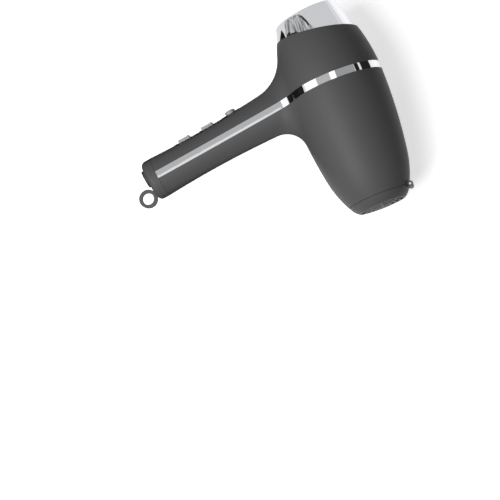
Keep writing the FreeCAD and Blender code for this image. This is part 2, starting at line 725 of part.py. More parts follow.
REAR_X = arc_point(*barrel_arcs(0)[0][:3]).x
REAR_R = barrel_r(REAR_X)
INTAKE_R = REAR_R - INTAKE_LIP
GUARD_X = REAR_X + GUARD_INSET
guard_front = GUARD_X + GUARD_DEPTH
guard_rim = barrel_r(GUARD_X, WALL) - 2.2
guard_leg = cyl_x(1.3, GUARD_X + 1, DUCT_REAR_X - FIT, 0, guard_rim)
NODES["intake_guard"] = joined(
    [wheel_grille(BELLY_R, guard_rim, 6.0, 3, 6, 1.3, GUARD_X, guard_front)]
    + around_x(turned_x(guard_leg, 30), 3)
).common(barrel(WALL + FIT))

CAP_X = REAR_X - SLIDE
HINGE_X, HINGE_Z = CAP_X + SLIDE / 2, REAR_R + HINGE_RISE
cap_back = CAP_X - CAP_DEPTH


def dish(points_out, points_in):
    """Solid of revolution between two curved profiles of (x, r) points, closed on the axis."""
    edges = []
    for points in (points_out, points_in):
        a, b, c, d, e = (Vector(x, 0, r) for x, r in points)
        edges += [Part.Arc(a, b, c).toShape(), Part.Arc(c, d, e).toShape()]
    first, last = points_out[0], points_in[0]
    edges.append(Part.LineSegment(Vector(first[0], 0, first[1]), Vector(last[0], 0, last[1])).toShape())
    first, last = points_out[-1], points_in[-1]
    edges.append(Part.LineSegment(Vector(first[0], 0, first[1]), Vector(last[0], 0, last[1])).toShape())
    wire = Part.Wire(Part.__sortEdges__(edges))
    return Part.Face(wire).revolve(Vector(), Vector(1, 0, 0), 360)


def crown(x, r, dome):
    """Rim, middle and apex of a spherical crown centred on the axis, rearwards of x."""
    rho = (r**2 + dome**2) / (2 * dome)
    half = math.asin(r / rho) / 2
    return [(x, r), (x - dome + rho - rho * math.cos(half), rho * math.sin(half)), (x - dome, 0)]


CAP_FACE_R = REAR_R - CAP_SHOULDER
cap_outer = [
    (CAP_X, REAR_R - 0.15),
    (CAP_X - CAP_DEPTH * 0.6, REAR_R - 2.9),
    *crown(cap_back, CAP_FACE_R, CAP_DOME),
]
cap_inner = [
    (CAP_X, REAR_R - 0.15 - CAP_WALL * 1.1),
    (CAP_X - CAP_DEPTH * 0.5, REAR_R - 2.9 - CAP_WALL),
    *crown(cap_back + CAP_WALL, CAP_FACE_R - CAP_WALL * 0.9, CAP_DOME),
]
spigot_out = INTAKE_R - SLIDE * 1.5
MESH_X = CAP_X - MESH_INSET
MESH_R = REAR_R - 3.6
cap_slots = []
slot_pitch = CAP_SLOT + CAP_RIB
for i in range(CAP_SLOT_RINGS):
    r = 3.6 + slot_pitch * i
    cap_slots.append(ring_x(r + CAP_SLOT, r, cap_back - 5, MESH_X))
rib_arms = around_x(box(cap_back - 6, MESH_X, -CAP_RIB / 2, CAP_RIB / 2, 0, BIG), CAP_RIBS)


def hinge_bar(r, y0, y1):
    """Cylinder along the cap's hinge axis."""
    return Part.makeCylinder(r, y1 - y0, Vector(HINGE_X, y0, HINGE_Z), Vector(0, 1, 0))


outer_knuckles = [
    hinge_bar(HINGE_R, y, y + HINGE_HALF - HINGE_CENTRE_HALF - SLIDE)
    for y in (-HINGE_HALF, HINGE_CENTRE_HALF + SLIDE)
]
centre_knuckle = hinge_bar(HINGE_R, -HINGE_CENTRE_HALF, HINGE_CENTRE_HALF)
outer_knuckle_space = [
    hinge_bar(HINGE_R + SLIDE, y, y + HINGE_HALF - HINGE_CENTRE_HALF + SLIDE)
    for y in (-HINGE_HALF - SLIDE, HINGE_CENTRE_HALF)
]
centre_knuckle_space = hinge_bar(
    HINGE_R + SLIDE, -HINGE_CENTRE_HALF - SLIDE, HINGE_CENTRE_HALF + SLIDE
)
cap_plate = dish(cap_outer, cap_inner)
cap_spigot = ring_x(spigot_out, spigot_out - 1.5, CAP_X - 1.5, CAP_X + SLIDE + SPIGOT_REACH)
cap_web = ring_x(REAR_R - 1.0, spigot_out - 1.5, CAP_X - 1.5, CAP_X)
slotted = cap_plate.cut(group(cap_slots).cut(group(rib_arms)))
finger_notch = cyl_x(6.0, CAP_X - 2.4, BIG, 0, -REAR_R - 3.4)
NODES["filter_cap"] = (
    slotted.fuse([cap_spigot, cap_web])
    .cut(cyl_x(MESH_R + 0.1, MESH_X - 0.05, MESH_X + MESH_T + 0.05))
    .cut(finger_notch)
    .cut(group(outer_knuckle_space))
    .fuse(centre_knuckle)
    .cut(hinge_bar(HINGE_PIN_R + RUN, -BIG, BIG))
)
mesh_holes = []
rows = int(MESH_R / (MESH_PITCH * 0.866)) + 1
for row in range(-rows, rows + 1):
    for column in range(-rows - 2, rows + 3):
        y = MESH_PITCH * (column + 0.5 * (row % 2))
        z = MESH_PITCH * 0.866 * row
        if math.hypot(y, z) < MESH_R - 2.4:
            mesh_holes.append(
                Part.Wire(Part.Circle(Vector(MESH_X, y, z), Vector(1, 0, 0), MESH_HOLE_R).toShape())
            )
mesh_rim = Part.Wire(Part.Circle(Vector(MESH_X, 0, 0), Vector(1, 0, 0), MESH_R).toShape())
mesh_face = Part.makeFace([mesh_rim] + mesh_holes, "Part::FaceMakerBullseye")
NODES["filter_mesh"] = mesh_face.extrude(Vector(MESH_T, 0, 0))
NODES["filter_hinge_pin"] = hinge_bar(HINGE_PIN_R, -HINGE_HALF, HINGE_HALF)

# ---------------------------------------------------------------- switch panel, sliders and button


track_length = PAD_LENGTH + SLIDE_TRAVEL + 2 * PAD_GAP
PANEL_S1 = HANDLE_END - PANEL_END
SPEED_S = PANEL_S1 - 2 * TRACK_SPACING - track_length  # upper ends of the sliders' tracks
HEAT_S = SPEED_S - TRACK_SPACING - track_length
COOL_S = HEAT_S - COOL_SPACING
PANEL_S0 = COOL_S - COOL_SPACING


def stadium(grow, f0, f1):
    """The switch panel's outline as a prism along F."""
    half = PANEL_HALF + grow
    s0, s1 = PANEL_S0 + PANEL_HALF, PANEL_S1 - PANEL_HALF
    parts = [hbox(f0, f1, -half, half, s0, s1), hcyl_f(half, f0, f1, s0), hcyl_f(half, f0, f1, s1)]
    return joined(parts)


pad_half = TRACK_HALF - SLIDE
slot_half_y = STEM_HALF + SLIDE
slot_length = STEM_LENGTH + SLIDE_TRAVEL + 2 * PAD_GAP
channel_length = LEVER_LENGTH + SLIDE_TRAVEL + 2 * PAD_GAP
BOARD_TOP_F = BOARD_FRONT_F + BOARD_T + 0.05

tracks = []
for name, s_top in (("heat", HEAT_S), ("speed", SPEED_S)):
    s_low = s_top + track_length
    rest = s_low - PAD_GAP - PAD_LENGTH / 2  # middle of the pad when switched off
    tracks.append(hbox(TRACK_F, BIG, -TRACK_HALF, TRACK_HALF, s_top, s_low))
    slot_low = rest + STEM_LENGTH / 2 + PAD_GAP
    tracks.append(hbox(-BIG, BIG, -slot_half_y, slot_half_y, slot_low - slot_length, slot_low))
    pad = hbox(
        TRACK_F + SLIDE, TRACK_F + PAD_RISE, -pad_half, pad_half, rest - PAD_LENGTH / 2,
        rest + PAD_LENGTH / 2,
    )
    rims = [
        e for e in pad.Edges
        if e.BoundBox.XLength > 1 or e.BoundBox.XMin > TRACK_F + PAD_RISE - 0.01
    ]
    pad = pad.makeFillet(0.8, rims)
    grooves = [
        hcyl_y(0.8, -BIG, BIG, TRACK_F + PAD_RISE + 0.35, rest + step)
        for step in (-3.0, -1.5, 0.0, 1.5, 3.0)
    ]
    stem_tip = SWITCH_TOP_F - 1.6
    stem = hbox(
        stem_tip, TRACK_F + 1, -STEM_HALF, STEM_HALF, rest - STEM_LENGTH / 2,
        rest + STEM_LENGTH / 2,
    )
    NODES[name + "_slider"] = from_handle(joined([pad, stem]).cut(group(grooves)))

    lever = hbox(
        BOARD_TOP_F + 1.9, SWITCH_TOP_F + 0.6, -LEVER_HALF, LEVER_HALF,
        rest - LEVER_LENGTH / 2, rest + LEVER_LENGTH / 2,
    )
    pocket = hbox(
        stem_tip - 0.1, BIG, -STEM_HALF - FIT, STEM_HALF + FIT,
        rest - STEM_LENGTH / 2 - FIT, rest + STEM_LENGTH / 2 + FIT,
    )
    NODES[name + "_lever"] = from_handle(lever.cut(pocket))
    channel_low = rest + LEVER_LENGTH / 2 + PAD_GAP
    body = hbox(
        BOARD_TOP_F, SWITCH_TOP_F, -SWITCH_HALF, SWITCH_HALF,
        channel_low - channel_length - 1.5, channel_low + 1.5,
    )
    channel = hbox(
        BOARD_TOP_F + 1.9 - SLIDE, BIG, -LEVER_HALF - SLIDE, LEVER_HALF + SLIDE,
        channel_low - channel_length, channel_low,
    )
    NODES[name + "_switch"] = from_handle(body.cut(channel))

cool_hole_r = COOL_R + SLIDE
panel_outer_f = HANDLE_ELLIPSES[3][1] + PANEL_PROUD
cool_top = panel_outer_f + COOL_RISE
flange_top = PANEL_BACK_F - SLIDE
flange_back = flange_top - 1.5
cool_switch_top = BOARD_TOP_F + 3.4
button_head = hcyl_f(COOL_R, flange_top - 0.1, cool_top, COOL_S)
head_rim = [e for e in button_head.Edges if e.BoundBox.XMin > cool_top - 0.01]
NODES["cool_button"] = from_handle(
    joined(
        [
            button_head.makeFillet(0.8, head_rim),
            hcyl_f(COOL_R + 1.3, flange_back, flange_top, COOL_S),
            hcyl_f(1.2, cool_switch_top - 0.5, flange_back + 0.1, COOL_S),
        ]
    )
)
NODES["cool_switch"] = from_handle(
    hbox(BOARD_TOP_F, cool_switch_top, -3.5, 3.5, COOL_S - 3.5, COOL_S + 3.5).cut(
        hcyl_f(1.5, cool_switch_top - 0.5 - COOL_TRAVEL - 0.3, BIG, COOL_S)
    )
)
spring_length = flange_back - cool_switch_top - 2 * SPRING_WIRE_R - 0.1
helix = Part.makeHelix(spring_length / SPRING_TURNS, spring_length, SPRING_R)
wire = Part.Wire(Part.Circle(Vector(SPRING_R, 0, 0), Vector(0, 1, 0), SPRING_WIRE_R).toShape())
spring = Part.Wire(helix.Edges).makePipeShell([wire], True, True)
spring.rotate(Vector(), Vector(0, 1, 0), 90)
spring.translate(Vector(cool_switch_top + SPRING_WIRE_R + 0.05, 0, -COOL_S))
NODES["cool_spring"] = from_handle(spring)

panel = from_handle(
    stadium(0, PANEL_BACK_F, BIG)
    .cut(group(tracks))
    .cut(hcyl_f(cool_hole_r, -BIG, BIG, COOL_S))
)
NODES["switch_panel"] = panel.common(form(-PANEL_PROUD))

BOARD_S0, BOARD_S1 = PANEL_S0 + 2.0, PANEL_S1 + 1.0
POST_S = (COOL_S + 6.3, BOARD_S1 - 3.2)
board = hbox(BOARD_FRONT_F, BOARD_FRONT_F + BOARD_T, -BOARD_HALF, BOARD_HALF, BOARD_S0, BOARD_S1)
board_screws = [
    hcyl_f(1.0, BOARD_FRONT_F - 4.0, BOARD_TOP_F + 0.2, s).fuse(
        hcyl_f(1.7, BOARD_TOP_F, BOARD_TOP_F + 1.2, s)
    )
    for s in POST_S
]
NODES["switch_board"] = from_handle(board.cut(group([hcyl_f(1.15, -BIG, BIG, s) for s in POST_S])))
NODES["board_screws"] = from_handle(group(board_screws))
back_f = BOARD_FRONT_F - 0.05
NODES["rectifier_diodes"] = from_handle(
    group([hcyl_y(1.3, -2.6, 2.6, back_f - 1.3, SPEED_S + 3.0 + 3.2 * i) for i in range(4)])
)
NODES["capacitor"] = from_handle(hbox(back_f - 8.0, back_f, -3.0, 3.0, HEAT_S + 7.0, HEAT_S + 19.0))

# ---------------------------------------------------------------- handle end, loop and cord entry

end_s0 = HANDLE_END + 2 * SEAM
end_s1 = end_s0 + END_CAP_LENGTH
end_a, end_b = HANDLE_ELLIPSES[-1][1:]


def oval(a, b, s0, s1):
    """Elliptic cylinder along the handle axis."""
    wire = Part.Wire(Part.Ellipse(Vector(0, 0, -s1), a, b).toShape())
    return Part.Face(wire).extrude(Vector(0, 0, s1 - s0))


cap_block = oval(end_a, end_b, end_s0, end_s1)
bottom_rim = [e for e in cap_block.Edges if e.BoundBox.ZMax < -end_s1 + 0.01]
cap_block = cap_block.makeFillet(END_CAP_ROUND, bottom_rim)
plug_inset = WALL + TONGUE_DEPTH + 3 * FIT
plug = oval(end_a - plug_inset, end_b - plug_inset, end_s0 - PLUG_LENGTH, end_s0 + 1)
hollow = oval(
    end_a - plug_inset - END_CAP_WALL, end_b - plug_inset - END_CAP_WALL,
    end_s0 - PLUG_LENGTH - 1, end_s1 - 2 * END_CAP_WALL,
)
LOOP_PIN_S = end_s1 - 3.6
slot_y = LOOP_T / 2 + SLIDE
loop_slot = hbox(-BIG, LOOP_PIN_F + LOOP_EYE_R + 0.6, -slot_y, slot_y, LOOP_PIN_S - 4.0, BIG)
slot_walls = hbox(
    LOOP_PIN_F - 3.6, LOOP_PIN_F + LOOP_EYE_R + 2.0, -slot_y - 1.6, slot_y + 1.6,
    LOOP_PIN_S - 5.4, end_s1 - 2.0,
)
gland_hole = hcyl_s(GLAND_R + 0.1, end_s0 - PLUG_LENGTH, BIG, GLAND_F)
NODES["handle_end_cap"] = from_handle(
    cap_block.fuse(plug).cut(hollow).fuse(slot_walls.common(cap_block)).cut(loop_slot)
    .cut(gland_hole)
    .cut(hcyl_y(LOOP_PIN_R + 0.02, -slot_y - 1.5, slot_y + 1.5, LOOP_PIN_F, LOOP_PIN_S))
)
floor_s = end_s1 - 2 * END_CAP_WALL
NODES["cord_gland"] = from_handle(
    joined(
        [
            hcyl_s(GLAND_R, floor_s - 0.1, end_s1 + 1, GLAND_F),
            hcyl_s(GLAND_FLANGE_R, floor_s - GLAND_FLANGE_T - 0.05, floor_s - 0.05, GLAND_F),
            hcyl_s(GLAND_FLANGE_R, end_s1 + 0.05, end_s1 + 0.05 + GLAND_FLANGE_T, GLAND_F),
        ]
    ).cut(hcyl_s(CORD_R + 0.1, -BIG, BIG, GLAND_F))
)

loop_reach = LOOP_EYE_R + LOOP_R + 0.5
loop_centre = LOOP_PIN_S + loop_reach
flat = -LOOP_T / 2, LOOP_T / 2
eye = hcyl_y(LOOP_EYE_R, *flat, LOOP_PIN_F, LOOP_PIN_S)
neck_bar = hbox(
    LOOP_PIN_F - 2.2, LOOP_PIN_F + 2.2, *flat, LOOP_PIN_S, loop_centre - LOOP_R + 1.0
)
hoop = hcyl_y(LOOP_R, *flat, LOOP_PIN_F, loop_centre)
NODES["hang_loop"] = from_handle(
    joined([eye, neck_bar, hoop])
    .cut(hcyl_y(LOOP_HOLE_R, -BIG, BIG, LOOP_PIN_F, loop_centre))
    .cut(hcyl_y(LOOP_PIN_R + RUN, -BIG, BIG, LOOP_PIN_F, LOOP_PIN_S))
)
NODES["loop_pin"] = from_handle(
    hcyl_y(LOOP_PIN_R, -slot_y - 1.4, slot_y + 1.4, LOOP_PIN_F, LOOP_PIN_S)
)

# ---------------------------------------------------------------- cord clamp and leads

CLAMP_S = HANDLE_END - CLAMP_END
clamp_floor_f = -CORD_R - 0.1
clamp_post = hbox(-BIG, clamp_floor_f, -CLAMP_HALF, CLAMP_HALF, CLAMP_S - 2.6, CLAMP_S + 2.6)
clamp = hbox(CORD_R - 0.4, CORD_R + 2.2, -CLAMP_HALF, CLAMP_HALF, CLAMP_S - 2.4, CLAMP_S + 2.4)
clamp_legs = [
    hbox(clamp_floor_f + 0.1, CORD_R, y - 1.9, y + 1.9, CLAMP_S - 2.4, CLAMP_S + 2.4)
    for y in (-CLAMP_SCREW_Y, CLAMP_SCREW_Y)
]
clamp_screw_holes = [
    hcyl_f(SCREW_R * 0.75 + 0.1, clamp_floor_f - 5.0, BIG, CLAMP_S, y)
    for y in (-CLAMP_SCREW_Y, CLAMP_SCREW_Y)
]
clamp_screws = [
    hcyl_f(SCREW_R * 0.75, clamp_floor_f - 4.6, CORD_R + 2.3, CLAMP_S, y).fuse(
        hcyl_f(1.8, CORD_R + 2.25, CORD_R + 3.5, CLAMP_S, y)
    )
    for y in (-CLAMP_SCREW_Y, CLAMP_SCREW_Y)
]
NODES["cord_clamp"] = from_handle(
    joined([clamp] + clamp_legs).cut(group(clamp_screw_holes))
    .cut(hcyl_s(CORD_R, CLAMP_S - 3, CLAMP_S + 3))
)
NODES["clamp_screws"] = from_handle(group(clamp_screws))


def handle_point(f, y, s):
    """A point given in handle axes, in the dryer's axes."""
    lean = math.radians(HANDLE_LEAN)
    return (
        HANDLE_X + f * math.cos(lean) - s * math.sin(lean),
        y,
        -s * math.cos(lean) - f * math.sin(lean),
    )


lead_x = sum(hole_x) / 2
lead_f = BOARD_TOP_F + LEAD_R
heater_leads, motor_leads = [], []
for side in (-1, 1):
    board_end = handle_point(lead_f, side * 6.0, BOARD_S0 + 1.5)
    throat = handle_point(lead_f, side * 6.0, BELLY_R + 6.1)
    below = (lead_x, side * 4.0, -MICA_TUBE_R - 4)
    inside = (lead_x, side * 2.0, -TERMINAL_R + 4)
    tab = (BOARD_REAR_X + MICA_TAB + 6, side * 1.6, -TERMINAL_R + 3)
    heater_leads.append(pipe([board_end, throat, below, inside, tab], LEAD_R, LEAD_BEND))
    board_end = handle_point(lead_f, side * 8.2, BOARD_S0 + 1.5)
    throat = handle_point(lead_f, side * 8.2, BELLY_R + 4.1)
    below = (lead_x, side * 8.0, -MICA_TUBE_R - 2.5)
    inside = (lead_x, side * 8.0, -5.0)
    motor_end = (MOTOR_FRONT_X + 0.1, side * 8.0, -5.0)
    motor_leads.append(pipe([board_end, throat, below, inside, motor_end], LEAD_R, LEAD_BEND))
NODES["heater_leads"] = group(heater_leads)
NODES["motor_leads"] = group(motor_leads)

# ---------------------------------------------------------------- front and rear shells

SCREW_STATIONS = (PANEL_S0 - SCREW_SPACING, HANDLE_END - SCREW_END)
REAR_BOSS_R = SCREW_HEAD_R + 1.6

front_bosses = [
    from_handle(hcyl_f(BOSS_R, SEAM, BIG, s)).common(MIDDLE).cut(
        from_handle(hcyl_f(SCREW_R + 0.05, -BIG, 10.0, s))
    )
    for s in SCREW_STATIONS
]
cone_stop = ring_x(BELLY_R, cone_r(CONE_BACK_X) - 2.6, CONE_BACK_X - 2.0, CONE_BACK_X - FIT)
mouth_block = OUTER.common(behind(MOUTH_X, -MOUTH_RAKE))
front_shell = (
    mouth_block.makeFillet(MOUTH_ROUND, rim_edges(mouth_block, MOUTH_X, -MOUTH_RAKE))
    .cut(INNER)
    .common(FRONT_SIDE)
    .fuse(cone_stop.common(MIDDLE))
    .cut(cone_space())
    .fuse(front_bosses)
    .cut(from_handle(stadium(FIT, PANEL_BACK_F - 8, BIG)))
)
NODES["front_shell"] = front_shell

rear_bosses = [
    from_handle(hcyl_f(REAR_BOSS_R, -BIG, -SEAM, s)).common(MIDDLE) for s in SCREW_STATIONS
]
post_tip = BOARD_FRONT_F - 0.05
posts = [from_handle(hcyl_f(2.2, -BIG, post_tip, s)).common(MIDDLE) for s in POST_S]
clamp_base = from_handle(clamp_post).common(MIDDLE)
duct_out = DUCT_R + DUCT_WALL + FIT
duct_ribs = [
    ring_x(BELLY_R + 2, duct_out, x, x + 2.0).common(MIDDLE)
    for x in (DUCT_REAR_X + DUCT_FLANGE_T + FIT, DUCT_FRONT_X - 7)
]
guard_rib = ring_x(BELLY_R, barrel_r(GUARD_X, WALL) - 2.0, GUARD_X - 2.2, GUARD_X - FIT)
collar = ring_x(INTAKE_R + 1.8, INTAKE_R, REAR_X + 0.5, REAR_X + 5.0)
screw_bores = [
    from_handle(hcyl_f(SCREW_R + 0.2, -BIG, BIG, s)) for s in SCREW_STATIONS
] + [from_handle(hcyl_f(SCREW_HEAD_R + 0.3, -BIG, HEAD_F, s)) for s in SCREW_STATIONS]
small_bores = [from_handle(hcyl_f(1.05, BOARD_FRONT_F - 5, 0, s)) for s in POST_S]
small_bores += [from_handle(hole) for hole in clamp_screw_holes]
rear_shell = (
    OUTER.cut(INNER)
    .fuse(rear_bosses + posts + [clamp_base] + duct_ribs)
    .fuse([guard_rib.common(MIDDLE), collar.common(MIDDLE)])
    .common(REAR_SIDE)
    .cut(cyl_x(INTAKE_R, -BIG, REAR_X + 6))
    .cut(group(screw_bores))
    .cut(group(small_bores))
    .fuse([bar.cut(cyl_x(INTAKE_R + 0.2, -BIG, 0)) for bar in outer_knuckles])
    .cut(centre_knuckle_space)
    .cut(hinge_bar(HINGE_PIN_R + 0.02, -BIG, BIG))
)
NODES["rear_shell"] = rear_shell

NODES["housing_screws"] = from_handle(
    group(
        [
            hcyl_f(SCREW_R, HEAD_F - 0.1, 9.5, s).fuse(
                hcyl_f(SCREW_HEAD_R, HEAD_F - SCREW_HEAD_T, HEAD_F - 0.05, s)
            ).cut(hcyl_f(1.1, HEAD_F - SCREW_HEAD_T - 1, HEAD_F - SCREW_HEAD_T + 1.1, s))
            for s in SCREW_STATIONS
        ]
    )
)

# ---------------------------------------------------------------- laid down on the table

# The dryer rests on the barrel's rear arc, under its centre of mass, and on the handle's end.
rest_slope = math.asin((REST_X - BELLY_X) / REAR_ARC_R)
barrel_ring = BELLY_R - REAR_ARC_R  # the rear arc's centre runs round the axis at this radius
end_centre = handle_point(0.0, 0.0, end_s1 - END_CAP_ROUND)
lean = math.radians(HANDLE_LEAN)
forward = Vector(math.cos(lean), 0, -math.sin(lean))


def reach_down(roll):
    """How far barrel and handle end reach along the downward direction, for a roll angle."""
    down = Vector(
        math.sin(rest_slope),
        -math.cos(rest_slope) * math.cos(roll),
        -math.cos(rest_slope) * math.sin(roll),
    )
    across = math.hypot(down.y, down.z)
    of_barrel = down.x * BELLY_X + across * barrel_ring + REAR_ARC_R
    oval_a, oval_b = end_a - END_CAP_ROUND, end_b - END_CAP_ROUND
    of_oval = math.hypot(oval_a * down.dot(forward), oval_b * down.y)
    return down, of_barrel, Vector(*end_centre).dot(down) + of_oval + END_CAP_ROUND


low, high = 0.0, math.radians(30)
for _ in range(50):
    roll = (low + high) / 2
    down, of_barrel, of_end = reach_down(roll)
    low, high = (roll, high) if of_end < of_barrel else (low, roll)
table_up = down * -1.0
table_y = (Vector(1, 0, 0) - table_up * table_up.x).normalize()
table_x = table_y.cross(table_up)


def laid(shape):
    """Turns a shape from the dryer's axes to the table's, where its nozzle points to +Y."""
    rows = [*table_x, 0, *table_y, 0, *table_up, of_barrel, 0, 0, 0, 1]
    placed = shape.copy()
    placed.transformShape(Matrix(*rows))
    return placed


LAID = {name: laid(shape) for name, shape in NODES.items()}
outline = [shape.optimalBoundingBox(False, False) for shape in LAID.values()]
centre_x = (min(b.XMin for b in outline) + max(b.XMax for b in outline)) / 2
centre_y = (min(b.YMin for b in outline) + max(b.YMax for b in outline)) / 2
for name, shape in LAID.items():
    shape.translate(Vector(-centre_x, -centre_y, 0))
    shape.exportStep("parts/" + name + ".step")
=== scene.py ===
import json
import math

import bpy
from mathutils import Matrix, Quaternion, Vector


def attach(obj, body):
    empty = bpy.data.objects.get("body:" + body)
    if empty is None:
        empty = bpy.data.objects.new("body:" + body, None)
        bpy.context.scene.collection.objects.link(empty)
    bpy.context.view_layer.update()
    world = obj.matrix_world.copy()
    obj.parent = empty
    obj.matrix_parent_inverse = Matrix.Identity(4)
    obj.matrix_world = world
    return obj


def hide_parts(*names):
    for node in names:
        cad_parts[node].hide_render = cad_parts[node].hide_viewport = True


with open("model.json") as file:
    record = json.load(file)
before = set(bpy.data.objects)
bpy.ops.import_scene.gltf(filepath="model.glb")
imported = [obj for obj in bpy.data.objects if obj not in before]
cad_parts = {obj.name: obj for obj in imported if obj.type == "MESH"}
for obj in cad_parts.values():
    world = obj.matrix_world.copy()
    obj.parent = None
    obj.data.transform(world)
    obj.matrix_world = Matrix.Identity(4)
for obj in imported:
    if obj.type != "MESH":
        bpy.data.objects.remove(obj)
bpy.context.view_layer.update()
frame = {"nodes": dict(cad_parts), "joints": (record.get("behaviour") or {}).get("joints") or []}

# ---------------------------------------------------------------- fan and rotor
# The fan is moulded glass-filled nylon, pressed on a ground steel shaft. The armature is a stack of
# punched electrical steel sheets, wound with enamelled copper wire. Its commutator is turned copper.


def linear(hexcode):
    """An sRGB hex colour as linear RGBA."""
    channels = [int(hexcode[i : i + 2], 16) / 255 for i in (1, 3, 5)]
    return [c / 12.92 if c <= 0.04045 else ((c + 0.055) / 1.055) ** 2.4 for c in channels] + [1.0]


def add(material, kind, settings=None, inputs=None):
    """Adds one shader node with its settings. Inputs are values, or outputs of other nodes to link."""
    node = material.node_tree.nodes.new("ShaderNode" + kind)
    for name, value in (settings or {}).items():
        setattr(node, name, value)
    for socket, value in (inputs or {}).items():
        if isinstance(value, bpy.types.NodeSocket):
            material.node_tree.links.new(value, node.inputs[socket])
        else:
            node.inputs[socket].default_value = value
    return node


def start(name, colour, roughness, **sockets):
    """A new material with its Principled shader. Returns the material, the shader and the place in metres."""
    material = bpy.data.materials.new(name)
    material.use_nodes = True
    material.node_tree.nodes.clear()
    inputs = {key.replace("_", " ").title().replace("Ior", "IOR"): v for key, v in sockets.items()}
    inputs |= {"Base Color": linear(colour), "Roughness": roughness}
    shader = add(material, "BsdfPrincipled", inputs=inputs)
    add(material, "OutputMaterial", inputs={"Surface": shader.outputs[0]})
    place = add(material, "TexCoord").outputs["Object"]
    return material, shader, place


def vary(material, shader, source, colours=None, roughness=None):
    """Lets a pattern from 0 to 1 move the colour between two hex values, and the roughness between two."""
    if colours:
        first, second = linear(colours[0]), linear(colours[1])
        mix = add(material, "Mix", {"data_type": "RGBA"}, {0: source, 6: first, 7: second})
        material.node_tree.links.new(mix.outputs[2], shader.inputs["Base Color"])
    if roughness:
        span = add(material, "MapRange", inputs={0: source, 3: roughness[0], 4: roughness[1]})
        material.node_tree.links.new(span.outputs[0], shader.inputs["Roughness"])


def emboss(material, shader, source, depth_mm, strength=1.0):
    """Raises the surface by a pattern from 0 to 1, up to a depth in millimetres."""
    bump = add(material, "Bump", inputs={"Strength": strength, "Distance": depth_mm / 1000, "Height": source})
    material.node_tree.links.new(bump.outputs[0], shader.inputs["Normal"])


def speckle(material, place, size_mm, detail=2.0, seed=0.0):
    """Noise whose grains are about that many millimetres across."""
    noise = add(
        material, "TexNoise", {"noise_dimensions": "4D"},
        {"Vector": place, "W": seed, "Scale": 1000 / size_mm, "Detail": detail, "Roughness": 0.55},
    )
    return noise.outputs[0]


def stripes(material, place, axis, pitch_mm, seed=0.0):
    """Even ridges from 0 to 1, square to an axis."""
    along = add(material, "VectorMath", {"operation": "DOT_PRODUCT"}, {0: place, 1: axis}).outputs["Value"]
    turns = add(material, "Math", {"operation": "MULTIPLY"}, {0: along, 1: 2000 * math.pi / pitch_mm})
    wave = add(material, "Math", {"operation": "SINE"}, {0: turns.outputs[0]})
    return add(material, "MapRange", inputs={0: wave.outputs[0], 1: -1.0, 2: 1.0}).outputs[0]


def paint(material, *names):
    """Gives CAD nodes a material."""
    for name in names:
        mesh = frame["nodes"][name].data
        mesh.materials.clear()
        mesh.materials.append(material)


joints = {joint["name"]: joint for joint in frame["joints"]}
AHEAD = Vector(joints["fan_spin"]["axis"])  # along the barrel, towards the outlet
SIDE = Vector(joints["filter_door_hinge"]["axis"])  # to the dryer's left
UP = AHEAD.cross(SIDE)  # away from the handle
ALONG_HANDLE = Vector(joints["heat_slide"]["axis"])  # up the handle, towards the barrel
HANDLE_FRONT = SIDE.cross(ALONG_HANDLE)  # square to it, towards the switches

nylon, shader, place = start("Glass-filled nylon, moulded", "#1b1b1d", 0.5, ior=1.53)
grain = speckle(nylon, place, 0.35)  # short glass fibres just under the skin break up its gloss
vary(nylon, shader, grain, roughness=(0.42, 0.6))
emboss(nylon, shader, grain, 0.012)
paint(nylon, "fan")

steel, shader, place = start("Electrical steel sheets, punched and stacked", "#77777b", 0.42, metallic=1.0)
sheets = stripes(steel, place, AHEAD, 0.5)  # edges of the 0.5 mm sheets
vary(steel, shader, sheets, ("#4a4a4e", "#8a8a8e"))
emboss(steel, shader, sheets, 0.05)
paint(steel, "armature_core")

enamel, shader, place = start("Copper wire, enamelled", "#a8502a", 0.28, metallic=1.0, coat_weight=0.6)
wire_turns_and_painted_shade = stripes(enamel, place, (AHEAD + SIDE * 0.6 + UP * 0.3).normalized(), 0.3)  # 0.3 mm wire in layers, raised turn by turn; its colour is painted darker in the grooves between turns and paler on their crowns
# painted shade in the grooves and painted highlight on the crowns of the wire
vary(enamel, shader, wire_turns_and_painted_shade, ("#6e2f16", "#c06a3c"))
emboss(enamel, shader, wire_turns_and_painted_shade, 0.1)
paint(enamel, "armature_windings")

copper, shader, place = start("Copper, turned", "#b87a56", 0.3, metallic=1.0)
marks = stripes(copper, place, AHEAD, 0.2)  # turning marks and the polish that the brushes leave
vary(copper, shader, marks, roughness=(0.22, 0.38))
emboss(copper, shader, marks, 0.006)
paint(copper, "commutator")

ground, shader, place = start("Steel, ground", "#b4b4b8", 0.22, metallic=1.0)
marks = stripes(ground, place, AHEAD, 0.15)  # fine rings from the grinding wheel
vary(ground, shader, marks, roughness=(0.16, 0.3))
paint(ground, "motor_shaft")

# ---------------------------------------------------------------- motor housing
# The can is drawn from zinc-plated steel sheet and holds two ferrite magnets. A black moulded end cap
# closes it and carries the carbon brushes. Sintered bronze bushes guide the shaft.

zinc, shader, place = start("Steel sheet, zinc-plated", "#a9abb0", 0.34, metallic=1.0)
spangle = speckle(zinc, place, 2.0, detail=3.0)  # faint clouds in the plating
vary(zinc, shader, spangle, ("#9c9ea4", "#b8babe"), (0.26, 0.42))
emboss(zinc, shader, speckle(zinc, place, 0.3), 0.004)
paint(zinc, "motor_can")

ferrite, shader, place = start("Ferrite, sintered", "#343437", 0.72)
grain = speckle(ferrite, place, 0.4, detail=4.0)  # dull ceramic grain
vary(ferrite, shader, grain, ("#2b2b2e", "#3d3d41"))
emboss(ferrite, shader, grain, 0.03)
paint(ferrite, "motor_magnets")

